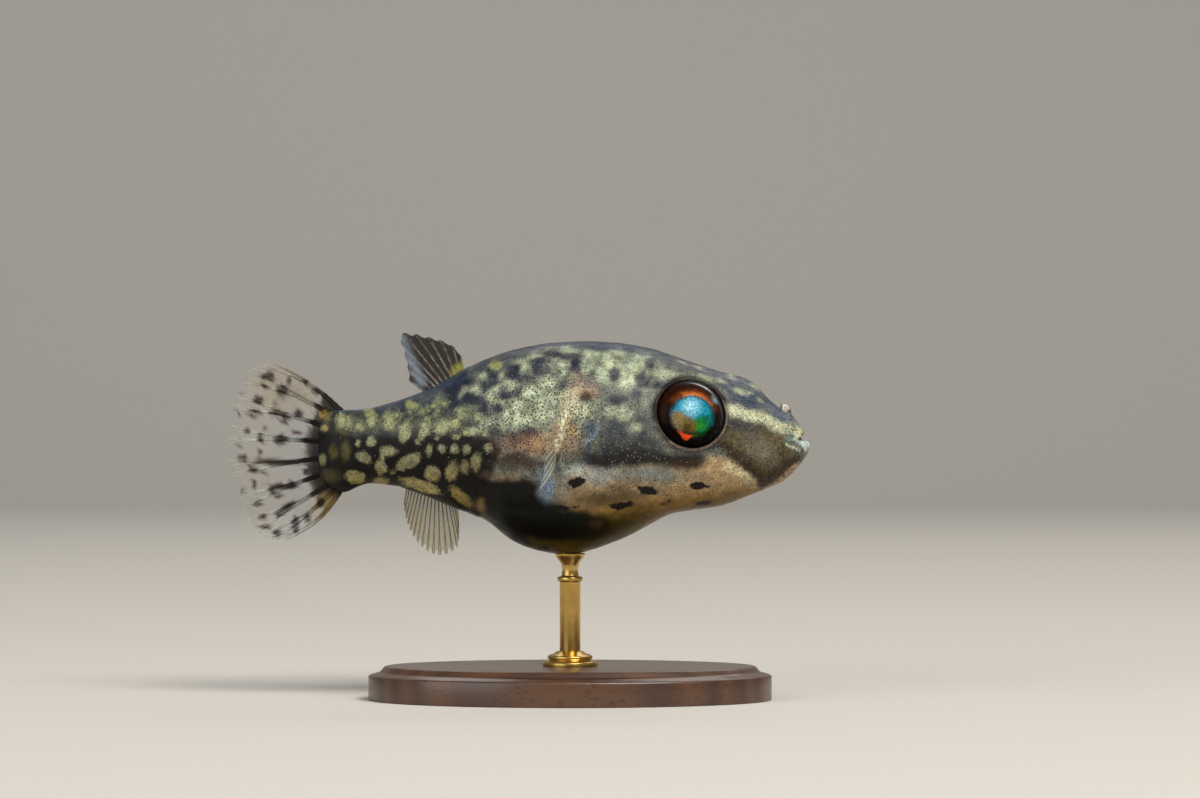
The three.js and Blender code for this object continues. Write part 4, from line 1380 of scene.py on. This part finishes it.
fins = {
    "caudal_fin": FinPlan(
        (-35.9, 2.7), (-36.2, -3.1),
        [(-42.4, 6.95), (-43.8, 5.6), (-44.6, 3.6), (-45.0, 0.6), (-44.8, -2.2), (-43.8, -5.1),
         (-42.3, -6.7), (-40.5, -7.0)],
        rays=[0, 0.10, 0.23, 0.385, 0.545, 0.70, 0.825, 0.92, 1],
        lay=lay_midline, bulge=0.5, wave=0.22, fray=0.07),
    "dorsal_fin": FinPlan(
        (-26.6, 5.6), (-28.9, 3.9),
        [(-26.9, 7.2), (-27.7, 8.1), (-29.3, 8.65), (-31.5, 8.95), (-31.3, 7.6), (-31.0, 6.3),
         (-30.9, 5.35)],
        rays=10, lay=lay_midline, wave=0.12),
    "anal_fin": FinPlan(
        (-27.2, -4.0), (-31.0, -2.5),
        [(-27.05, -5.9), (-27.2, -7.5), (-28.5, -8.1), (-29.7, -7.6), (-30.6, -6.6),
         (-31.1, -5.4), (-31.3, -4.2)],
        rays=17, lay=lay_midline, wave=0.14, fray=0.09),
    "pectoral_fin_right": FinPlan((-0.7, 1.3), (-0.7, -1.3), PECTORAL_RIM, rays=12,
                                  lay=beside(RIGHT, 0.2), wave=0.25),
    "pectoral_fin_left": FinPlan((-0.7, 1.3), (-0.7, -1.3), PECTORAL_RIM, rays=12,
                                 lay=beside(LEFT, 0.4), wave=0.25),
}

# %% Weave the films
FILM = 0.05
STRIPS_PER_RAY = 6
FILM_STEPS = 22


def weave_film(name, plan):
    """The fin's skin, a little short of the rim between the rays."""
    columns = STRIPS_PER_RAY * (len(plan.rays) - 1)
    shares = np.linspace(0, 1, FILM_STEPS + 1)
    film = one_point(name + "_film")
    bmesh.from_edit_mesh(film.data).verts.layers.int.new("step")
    for step in range(1, FILM_STEPS + 1):
        bpy.ops.mesh.extrude_vertices_move()
        mesh = bmesh.from_edit_mesh(film.data)
        step_of = mesh.verts.layers.int.get("step")
        for vert in mesh.verts:
            if vert.select:
                vert[step_of] = step
    bpy.ops.mesh.select_all(action="SELECT")
    for column in range(columns + 1):
        if column > 0:
            bpy.ops.mesh.extrude_edges_move()
        between = math.sin(math.pi * column / STRIPS_PER_RAY) ** 2
        reach_out = 1 - plan.fray * between
        across = np.interp(column / STRIPS_PER_RAY, range(len(plan.rays)), plan.rays)
        row = plan.place(shares * reach_out, across)
        mesh = bmesh.from_edit_mesh(film.data)
        step_of = mesh.verts.layers.int.get("step")
        for vert in mesh.verts:
            if vert.select:
                vert.co = row[vert[step_of]]
    close(film)
    finish_with(film, "SOLIDIFY", thickness=FILM * MM, offset=0.0)
    bpy.ops.object.shade_smooth()
    return film


films = {name: weave_film(name, plan) for name, plan in fins.items()}
print("films:", {name: len(film.data.polygons) for name, film in films.items()})

# %% One straight jointed rod
ROD_SIDES = 6
ROD_JOINTS = 30
JOINT_WAIST = 0.80


def make_rod():
    """A rod 1 m long and of 1 m radius, waisted at each joint, to be bent and scaled."""
    deselect()
    bpy.ops.mesh.primitive_circle_add(vertices=ROD_SIDES, radius=1)
    rod = named("ray_rod")
    edit(rod)
    bpy.ops.mesh.select_all(action="SELECT")
    for joint in range(ROD_JOINTS):
        bpy.ops.mesh.extrude_edges_move(TRANSFORM_OT_translate={"value": (0, 0, 1 / ROD_JOINTS)})
        size = JOINT_WAIST if joint % 2 == 0 else 1 / JOINT_WAIST
        bpy.ops.transform.resize(value=(size, size, 1))
    close_end()
    select_open_edges()
    close_end()
    close(rod)
    return rod


rod = make_rod()
rod_points = points_of(rod)
rod_along = np.clip(rod_points[:, 2], 0, 1)
print("rod:", len(rod.data.polygons), "faces")

# %% Bend the rods into branching rays
# fork: the share of the ray where a pair of branches parts, and how far apart they end up, in
# shares of the gap between rays. A bundle keeps its two halves so many mm apart from the root.
FORKS = {"caudal_fin": [(0.36, 0.46), (0.68, 0.20)], "dorsal_fin": [(0.45, 0.26)],
         "anal_fin": [(0.40, 0.34)], "pectoral_fin_right": [(0.50, 0.26)],
         "pectoral_fin_left": [(0.50, 0.26)]}
BUNDLE = {"caudal_fin": 0.10, "dorsal_fin": 0.03, "anal_fin": 0.0, "pectoral_fin_right": 0.0,
          "pectoral_fin_left": 0.0}
THICK = {"caudal_fin": (0.19, 0.065), "dorsal_fin": (0.105, 0.045), "anal_fin": (0.070, 0.030),
         "pectoral_fin_right": (0.075, 0.03), "pectoral_fin_left": (0.075, 0.03)}


def bend_rod(name, plan, middle, lanes):
    """One branch of a ray: it follows the ray's middle, and parts from it at each fork."""
    gap = 1 / (len(plan.rays) - 1)
    across = np.full(len(rod_along), middle)
    for (fork, apart), lane in zip(FORKS[name], lanes):
        share = np.clip((rod_along - fork) / (1 - fork), 0, 1)
        across = across + lane * apart * gap * 0.5 * share ** 1.3
    across = np.clip(across, 0, 1)
    here = plan.place(rod_along, across)
    ahead = plan.place(rod_along + 0.01, across) - here
    ahead /= np.linalg.norm(ahead, axis=1)[:, None]
    lifted = plan.place(rod_along, across, 0.1) - here
    lifted /= np.linalg.norm(lifted, axis=1)[:, None]
    aside = np.cross(ahead, lifted)
    base, tip = THICK[name]
    thick = (base + (tip - base) * rod_along ** 0.8) * MM
    here = here + aside * lanes[0] * BUNDLE[name] * (1 - 0.6 * rod_along[:, None]) * MM
    bent = here + (aside * rod_points[:, :1] + lifted * rod_points[:, 1:2]) * thick[:, None]
    copy = bpy.data.objects.new(name + "_ray", rod.data.copy())
    bpy.context.scene.collection.objects.link(copy)
    copy.data.vertices.foreach_set("co", bent.ravel())
    return copy


def make_rays(name, plan):
    """All the branches of a fin's rays, joined."""
    branches = []
    for middle in plan.rays:
        for first in (-1, 1):
            for second in (-1, 1) if len(FORKS[name]) > 1 else (0,):
                branches.append(bend_rod(name, plan, middle, (first, second)))
    choose(*branches)
    bpy.ops.object.join()
    rays = named(name + "_rays")
    edit(rays)
    close(rays)
    bpy.ops.object.shade_smooth()
    return rays


all_rays = {name: make_rays(name, plan) for name, plan in fins.items()}
bpy.data.objects.remove(rod)
print("rays:", {name: len(rays.data.polygons) for name, rays in all_rays.items()})

# %% [markdown]
# ### Fin colours
# The tail fin is the boldest: rows of dark brown spots on clear film, pale stretches of ray
# between them, and a black band at its root with a tan patch below it. The paint has two
# parts, a tint and how opaque it is, so that the film stays clear between the spots. The rays
# are thin too, but they are bone, so they show as milky lines.

# %% Spots of the tail fin
CAUDAL_SPOTS = [
    (38.95, 5.2, 0.2, 0.2), (38.1, 4.5, 0.3, 0.25), (37.4, 3.8, 0.3, 0.35), (36.4, 3.3, 0.35, 0.35),
    (37.7, 3.1, 0.25, 0.2), (39.5, 2.8, 0.3, 0.3), (40.8, 4.5, 0.4, 0.45), (40.2, 5.3, 0.15, 0.25),
    (41.7, 5.7, 0.2, 0.4), (42.2, 4.9, 0.25, 0.25), (42.3, 5.6, 0.25, 0.2), (42.7, 3.75, 0.35, 0.3),
    (43.0, 2.8, 0.5, 0.25), (41.4, 2.85, 0.4, 0.2), (40.6, 2.4, 0.35, 0.4), (41.2, 3.5, 0.12, 0.2),
    (39.6, 1.3, 0.4, 0.15), (40.9, 0.7, 0.45, 0.45), (42.5, 0.9, 0.3, 0.35), (42.1, 1.5, 0.2, 0.15),
    (43.5, 1.4, 0.2, 0.25), (42.5, -0.3, 0.2, 0.2), (43.8, -0.7, 0.35, 0.3), (41.0, -1.0, 1.7, 0.2),
    (43.1, -1.55, 0.4, 0.2), (42.2, -1.8, 0.15, 0.2), (40.9, -2.85, 1.0, 0.18, -5),
    (40.0, -2.75, 0.35, 0.3), (41.6, -3.2, 0.3, 0.3), (41.1, -3.6, 0.25, 0.2),
    (42.7, -4.2, 0.35, 0.2, 25), (43.0, -2.6, 0.2, 0.3), (40.5, -4.55, 0.75, 0.2, 35),
    (41.1, -5.0, 0.25, 0.25), (42.3, -5.25, 0.3, 0.2), (38.8, -5.3, 0.25, 0.3),
    (39.75, -5.8, 0.25, 0.6), (42.1, -6.0, 0.4, 0.15), (41.2, -6.5, 0.3, 0.25),
    (37.8, -4.1, 0.3, 0.35), (38.0, -3.1, 0.3, 0.4), (38.9, -1.7, 0.2, 0.2),
    (44.0, 0.3, 0.15, 0.2), (44.4, 2.9, 0.15, 0.2), (44.1, 4.4, 0.15, 0.2), (43.9, -3.2, 0.15, 0.2),
]
CAUDAL_GOLD = [(37.5, 1.55, 0.3, 0.25), (37.4, 2.5, 0.3, 0.5), (37.4, 0.75, 0.25, 0.35)]


def nearest_mark(where_u, where_v, marks):
    return np.max([oval(where_u, where_v, (mark[0], mark[1]), mark[2], mark[3], (*mark, 0)[4])
                   for mark in marks], axis=0)


# %% Paint a fin's film and rays
def paint_caudal(tint, opaque, where_u, where_v, bone):
    spots = nearest_mark(where_u, where_v, CAUDAL_SPOTS)
    uneven = field(np.stack([where_u, 0 * where_u, where_v], axis=1) * MM, 0.6, 52)
    root = (39.5 if bone else 39.0) - 0.08 * (where_v + 0.4) ** 2 - where_u + 0.3 * uneven
    wash(tint, "8c95a0", 0.9 - np.abs(where_u - 39.8), 1.6, 0.6)
    wash(tint, "a1937a", 1.9 - np.hypot((where_u - 40.6) * 0.7, where_v - 4.7), 1.4, 0.75)
    wash(tint, "17110c", root, 0.7)
    wash(tint, "8d7548", 1.1 - np.hypot((where_u - 37.2) * 0.8, where_v + 4.5), 0.8, 0.85)
    wash(tint, "2b1d12", spots + 0.06, 0.16, 0.97)
    wash(tint, "b89a3c", nearest_mark(where_u, where_v, CAUDAL_GOLD), 0.25, 0.85)
    cover = np.maximum(soft(spots + 0.03, 0.2) * 0.92, soft(root, 0.7))
    lobe = soft(1.9 - np.hypot((where_u - 40.6) * 0.7, where_v - 4.7), 1.8)
    np.maximum(opaque, np.maximum(cover, 0.42 * lobe), out=opaque)
    if bone:
        opaque *= 1 - 0.6 * soft(np.hypot(where_u - 36.5, where_v - 0.2) - 7.3, 1.6)


def paint_dorsal(tint, opaque, where_u, where_v, bone):
    specks = np.abs(field(np.stack([where_u, 0 * where_u, where_v], axis=1) * MM, 0.45, 51))
    wash(tint, "2b2420", specks - 0.18, 0.15, 0.7)
    wash(tint, "7f8a94", 0.35 - to_line(where_u, where_v, [(29.9, 5.2), (31.6, 8.6)]), 0.6, 0.8)
    wash(tint, "95903c", 0.75 - np.hypot(where_u - 26.9, where_v - 5.9), 0.7, 0.85)
    wash(tint, "1d1916", 4.9 - 0.62 * (where_u - 28.0) - where_v, 0.8, 0.7)
    np.maximum(opaque, soft(0.8 - np.hypot(where_u - 27.0, where_v - 5.8), 0.9) * 0.8, out=opaque)


def paint_anal(tint, opaque, where_u, where_v, bone):
    wash(tint, "6d6a45", 0.7 - to_line(where_u, where_v, [(27.2, -4.2), (31.0, -2.9)]), 0.9, 0.7)


def paint_pectoral(tint, opaque, where_u, where_v, bone):
    wash(tint, "c9b48c", 1.2 - np.hypot(where_u - 19.3, where_v - 0.8), 1.2, 0.6)


# the brush, then the colour and the cover of the film, and those of the rays
FIN_PAINTS = {
    "caudal_fin": (paint_caudal, "a9a191", 0.08, "b7b8ab", 0.9),
    "dorsal_fin": (paint_dorsal, "241f1c", 0.8, "7d756a", 0.9),
    "anal_fin": (paint_anal, "837845", 0.26, "917f45", 0.85),
    "pectoral_fin_right": (paint_pectoral, "cfd2c4", 0.08, "d0ccb8", 0.30),
    "pectoral_fin_left": (paint_pectoral, "cfd2c4", 0.08, "d0ccb8", 0.30),
}


def paint_fin(piece, brush, colour, cover, bone):
    """Gives a fin piece its tint and how opaque it is, point by point."""
    places = points_of(piece)
    where_u, where_v, _ = read_places(places)
    tint = np.tile(linear(colour), (len(places), 1))
    opaque = np.full(len(places), cover)
    brush(tint, opaque, where_u, where_v, bone)
    keep_on(piece, "tint", tint)
    keep_on(piece, "opaque", opaque)


for name, (brush, film_colour, film_cover, ray_colour, ray_cover) in FIN_PAINTS.items():
    paint_fin(films[name], brush, film_colour, film_cover, False)
    paint_fin(all_rays[name], brush, ray_colour, ray_cover, True)

# %% Fin finish
def fin_finish(title, roughness, ripple):
    """Translucent film or bone, tinted and covered by the fin's paint."""
    finish, tree = new_finish(title)
    place = add(tree, "ShaderNodeTexCoord").outputs["Object"]
    tint = add(tree, "ShaderNodeAttribute", attribute_name="tint").outputs["Color"]
    opaque = add(tree, "ShaderNodeAttribute", attribute_name="opaque").outputs["Fac"]
    mottle = lumps(tree, place, 0.25, 3.0)
    end_finish(tree, {
        "Base Color": times(tree, tint, remap(tree, mottle, (0.3, 0.7), (0.78, 1.2))),
        "Alpha": opaque, "Roughness": roughness, "IOR": 1.33,
        "Normal": dents(tree, mottle, ripple, 0.03)})
    return finish


film_finish = fin_finish("clear_fin_film", 0.28, 0.5)
bone_finish = fin_finish("milky_fin_bone", 0.40, 0.3)
for name in fins:
    dress(films[name], film_finish, "fin", name)
    dress(all_rays[name], bone_finish, "fin")

# %% [markdown]
# ## Teeth
# A puffer's teeth are fused into a beak: one plate above and one below, each with a faint
# groove down its middle. Only a sliver shows between the lips. Each plate is a cube flattened,
# cut across into strips, bent round the front of the jaw and tapered to an edge.

# %% Beak plates
PLATE_HALF_WIDTH = 0.52
PLATE_THICK = 0.16
PLATE_CUTS = 11


def tooth_plate(title, front, edge_above, root_above):
    """One curved plate. Its biting edge is thinner than its root."""
    deselect()
    bpy.ops.mesh.primitive_cube_add(size=1)
    plate = named(title)
    mesh = edit(plate)
    for edge in mesh.edges:
        edge.select_set(abs(edge.verts[0].co.y - edge.verts[1].co.y) > 0.5)
    bpy.ops.mesh.subdivide(number_cuts=PLATE_CUTS)
    mesh = bmesh.from_edit_mesh(plate.data)
    bpy.ops.mesh.select_all(action="SELECT")
    for vert in mesh.verts:
        across = vert.co.y * 2
        at_edge = vert.co.z < 0
        thick = PLATE_THICK * (0.35 if at_edge else 1)
        groove = 0.03 * math.exp(-(across / 0.12) ** 2)
        back = front + 0.42 * across ** 2 + (thick if vert.co.x < 0 else groove)
        height = edge_above if at_edge else root_above
        vert.co = on_fish(back, height, across * PLATE_HALF_WIDTH)
    close(plate)
    finish_with(plate, "BEVEL", width=0.02 * MM, segments=2, limit_method="ANGLE")
    finish_with(plate, "SUBSURF", levels=1, render_levels=1)
    bpy.ops.object.shade_smooth()
    return plate


# mm behind the snout, and mm above the axis at the biting edge and at the root
upper_plate = tooth_plate("tooth_plate_upper", 0.72, 0.88, 1.14)
lower_plate = tooth_plate("tooth_plate_lower", 0.55, 0.78, 0.50)

enamel_finish, tree = new_finish("ivory_tooth_enamel")
place = add(tree, "ShaderNodeTexCoord").outputs["Object"]
stained = over(tree, lumps(tree, place, 0.3, 3.0), rgba("e6dcc0"), rgba("b7a47c"))
end_finish(tree, {"Base Color": stained, "Roughness": 0.22, "IOR": 1.6, "Subsurface Weight": 0.1,
                  "Subsurface Scale": 0.2 * MM})
dress(upper_plate, enamel_finish, "tooth", "beak")
dress(lower_plate, enamel_finish, "tooth")
print("tooth plates:", len(upper_plate.data.polygons), "faces each")

# %% [markdown]
# ## Stand
# The stand is a turned and shaped one, as for a small trophy. The oval plate is a disc scaled
# to an oval while it is still a cylinder. Its top is then inset and raised step by step, so
# that the moulding has the same width all round, and its edges are bevelled. The rod and its
# collar are turned from brass.

# %% Oval plate
base_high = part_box("stand_base")[1]
# how far in each step of the moulding goes, and how far up
MOULDING = [(0.9 * MM, 0.25 * MM), (0.35 * MM, 0.45 * MM), (0.9 * MM, 0)]
EDGE_HEIGHT = base_high[2] - sum(rise for _, rise in MOULDING)

deselect()
bpy.ops.mesh.primitive_cylinder_add(vertices=96, radius=1, depth=1)
plate = named("stand_plate")
plate.scale = (base_high[0], base_high[1], EDGE_HEIGHT)
plate.location = (0, 0, EDGE_HEIGHT / 2)
settle(plate)
mesh = edit(plate)
for face in mesh.faces:
    face.select_set(face.normal.z > 0.9)
for width, rise in MOULDING:
    bpy.ops.mesh.inset(thickness=width, depth=rise)
close(plate)
finish_with(plate, "BEVEL", width=0.14 * MM, segments=3, limit_method="ANGLE")
bpy.ops.object.shade_smooth_by_angle(angle=math.radians(40))
print("plate", [round(c / MM, 2) for c in plate.dimensions], "mm,", len(plate.data.polygons), "faces")

# %% Rod with its cup, and the collar
ROD_RADIUS = 0.8
belly = points_of(skin) / MM
belly = belly[np.hypot(belly[:, 0], belly[:, 1]) < 1.2]
rod_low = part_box("stand_rod")[0][2] / MM
rod_high = float(belly[:, 2].min()) + 0.10
collar_low, collar_high = (corner[2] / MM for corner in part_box("stand_collar"))
COLLAR_RADIUS = 2.1
ROD_PROFILE = [
    (0, rod_low), (0.70, rod_low), (ROD_RADIUS, rod_low + 0.1), (ROD_RADIUS, rod_high - 2.2),
    (0.95, rod_high - 2.15), (0.98, rod_high - 2.0), (0.95, rod_high - 1.85), (0.66, rod_high - 1.75),
    (0.60, rod_high - 1.3), (0.70, rod_high - 0.8), (1.05, rod_high - 0.35), (1.18, rod_high - 0.08),
    (1.14, rod_high), (1.05, rod_high - 0.02), (0.6, rod_high - 0.16), (0, rod_high - 0.2),
]
COLLAR_PROFILE = [
    (ROD_RADIUS + 0.02, collar_low - 0.25), (COLLAR_RADIUS, collar_low - 0.25),
    (COLLAR_RADIUS, collar_low + 0.02), (COLLAR_RADIUS - 0.08, collar_low + 0.1),
    (COLLAR_RADIUS - 0.42, collar_low + 0.14), (COLLAR_RADIUS - 0.5, collar_low + 0.22),
    (COLLAR_RADIUS - 0.35, collar_low + 0.38), (COLLAR_RADIUS - 0.38, collar_low + 0.52),
    (COLLAR_RADIUS - 0.62, collar_low + 0.64), (COLLAR_RADIUS - 0.85, collar_low + 0.7),
    (ROD_RADIUS + 0.22, collar_high - 0.02), (ROD_RADIUS + 0.1, collar_high),
    (ROD_RADIUS + 0.02, collar_high - 0.06), (ROD_RADIUS + 0.02, collar_low - 0.25),
]


def turned_brass(title, profile):
    """A piece turned round the upright through the middle of the stand."""
    def place(radius, turn, height):
        return Vector((radius * MM, 0, height * MM))
    piece = lathe(title, profile, place, (0, 0, 0), (0, 0, 1), 64)
    finish_with(piece, "BEVEL", width=0.03 * MM, segments=2, limit_method="ANGLE")
    bpy.ops.object.shade_smooth_by_angle(angle=math.radians(35))
    return piece


brass_rod = turned_brass("stand_brass_rod", ROD_PROFILE)
brass_collar = turned_brass("stand_brass_collar", COLLAR_PROFILE)
print("rod from", round(rod_low, 2), "to", round(rod_high, 2), "mm, where it cups the belly")

# %% [markdown]
# ### Stand finishes
# Walnut is brown with darker growth lines along its length, fine open pores, and a satin
# lacquer. The brass is turned, so it has fine rings round its axis, which stretch the
# highlights, and is a little darker where it is handled least.

# %% Walnut and brass
PORE = 0.12
GROWTH_RING = 0.9

walnut_finish, tree = new_finish("lacquered_walnut")
place = add(tree, "ShaderNodeTexCoord").outputs["Object"]
along = add(tree, "ShaderNodeMapping", {"Vector": place, "Scale": (0.12, 1.0, 0.6)}).outputs[0]
warp = add(tree, "ShaderNodeTexNoise", {"Vector": along, "Scale": per_mm(3.0), "Detail": 3.0})
shift = add(tree, "ShaderNodeVectorMath", {0: warp.outputs["Color"], "Scale": 1.6 * MM},
            operation="SCALE")
bent = add(tree, "ShaderNodeVectorMath", {0: along, 1: shift.outputs["Vector"]}, operation="ADD")
grown = add(tree, "ShaderNodeTexWave", {
    "Vector": bent.outputs["Vector"], "Scale": per_mm(GROWTH_RING) * 0.16, "Distortion": 5.0,
    "Detail": 3.0}, bands_direction="Y")
pore = above_zero(tree, arith(tree, "SUBTRACT", lumps(tree, along, PORE, 2.0), 0.62), 0.05)
wood = over(tree, grown.outputs["Fac"], rgba("573822"), rgba("42291a"))
wood = over(tree, arith(tree, "MULTIPLY", pore, 0.6), wood, rgba("1e120a"))
end_finish(tree, {"Base Color": wood, "Roughness": 0.38, "Coat Weight": 0.4, "Coat Roughness": 0.18,
                  "Normal": dents(tree, pore, 0.25, -0.02)})

brass_finish, tree = new_finish("turned_brass")
place = add(tree, "ShaderNodeTexCoord").outputs["Object"]
rings = add(tree, "ShaderNodeMapping", {"Vector": place, "Scale": (0.05, 0.05, 1.0)}).outputs[0]
tarnish = lumps(tree, place, 1.6, 4.0)
end_finish(tree, {
    "Base Color": over(tree, tarnish, rgba("d9b86c"), rgba("b08a45")), "Metallic": 1.0,
    "Roughness": remap(tree, tarnish, (0.3, 0.7), (0.20, 0.34)),
    "Normal": dents(tree, lumps(tree, rings, 0.10, 2.0), 0.2, 0.01)})

dress(plate, walnut_finish, "stand_wood", "stand_base")
dress(brass_rod, brass_finish, "stand_brass", "stand_rod")
dress(brass_collar, brass_finish, "stand_brass", "stand_collar")

# %% [markdown]
# ## The studio
# Museum models are shown on a plain pale surface that also rises behind them. The sweep is matt
# paper, and it starts as a plane. Its far edge is extruded upwards, and smooth shading softens
# the fold between floor and wall.

# %% Matt paper for the sweep
paper, tree = new_finish("matt_paper")
fibre = add(tree, "ShaderNodeTexNoise", {"Scale": per_mm(0.5), "Detail": 2.0})
shade = over(tree, fibre.outputs["Fac"], rgba("cbc6bd"), rgba("c4bfb6"))
end_finish(tree, {"Base Color": shade, "Roughness": 0.9, "Specular IOR Level": 0.2})

# %% Sweep of pale paper
SWEEP_WIDTH = 1.6
SWEEP_NEAR = -0.7
SWEEP_BACK = 0.62
SWEEP_HEIGHT = 1.1

deselect()
bpy.ops.mesh.primitive_plane_add(size=1)
sweep = named("sweep")
sweep.scale = (SWEEP_WIDTH, SWEEP_BACK - SWEEP_NEAR, 1)
sweep.location = (0, (SWEEP_BACK + SWEEP_NEAR) / 2, 0)
settle(sweep)
mesh = edit(sweep)
for edge in mesh.edges:
    edge.select_set(all(vert.co.y > SWEEP_BACK - MM for vert in edge.verts))
bpy.ops.mesh.extrude_edges_move(TRANSFORM_OT_translate={"value": (0, 0, SWEEP_HEIGHT)})
bpy.ops.object.mode_set(mode="OBJECT")
bpy.ops.object.shade_smooth()
sweep.data.materials.append(paper)
print("sweep:", len(sweep.data.polygons), "faces")

# %% [markdown]
# Soft light comes from large, near panels: a key above and in front of the head, a weaker fill
# from the tail side, and a panel behind and above that draws a light edge along the back. The
# fish is only 45 mm long, so half a metre is far away for a lamp.

# %% Lights
def panel(title, place, width, height, power, tint):
    """A rectangular light of so many watts, aimed at the middle of the fish."""
    deselect()
    bpy.ops.object.light_add(type="AREA", location=place)
    light = named(title)
    light.data.shape = "RECTANGLE"
    light.data.size = width
    light.data.size_y = height
    light.data.energy = power
    light.data.color = tint
    aim = Vector((0, 0, AXIS)) - light.location
    light.rotation_euler = aim.to_track_quat("-Z", "Y").to_euler()
    return light


panel("key_light", (0.22, -0.36, 0.46), 0.30, 0.30, 3.6, (1.0, 0.97, 0.93))
panel("fill_light", (-0.42, -0.40, 0.20), 0.50, 0.40, 1.3, (0.93, 0.96, 1.0))
panel("back_light", (0.10, 0.38, 0.42), 0.50, 0.20, 0.6, (1.0, 0.98, 0.95))
world = bpy.data.worlds.new("studio")
bpy.context.scene.world = world
world.use_nodes = True
world.node_tree.nodes["Background"].inputs["Color"].default_value = (0.80, 0.82, 0.84, 1)
world.node_tree.nodes["Background"].inputs["Strength"].default_value = 0.27

# %% [markdown]
# The camera looks level at the fish's right side through a long lens, which keeps the
# proportions of a side view. It stands about 36 cm away, with the fish in the lower part of
# the picture, so that the whole stand shows.

# %% Camera
CAMERA_AT = Vector((2.3, -356.0, 23.1)) * MM
LENS = 139.0

deselect()
bpy.ops.object.camera_add(location=CAMERA_AT, rotation=(math.pi / 2, 0, 0))
camera = named("camera")
camera.data.lens = LENS
camera.data.clip_start = 0.01
camera.data.clip_end = 10.0
bpy.context.scene.camera = camera
bpy.context.scene.view_settings.view_transform = "Standard"
print("camera sees", round(camera.data.sensor_width / LENS * -CAMERA_AT.y / MM, 1), "mm across")
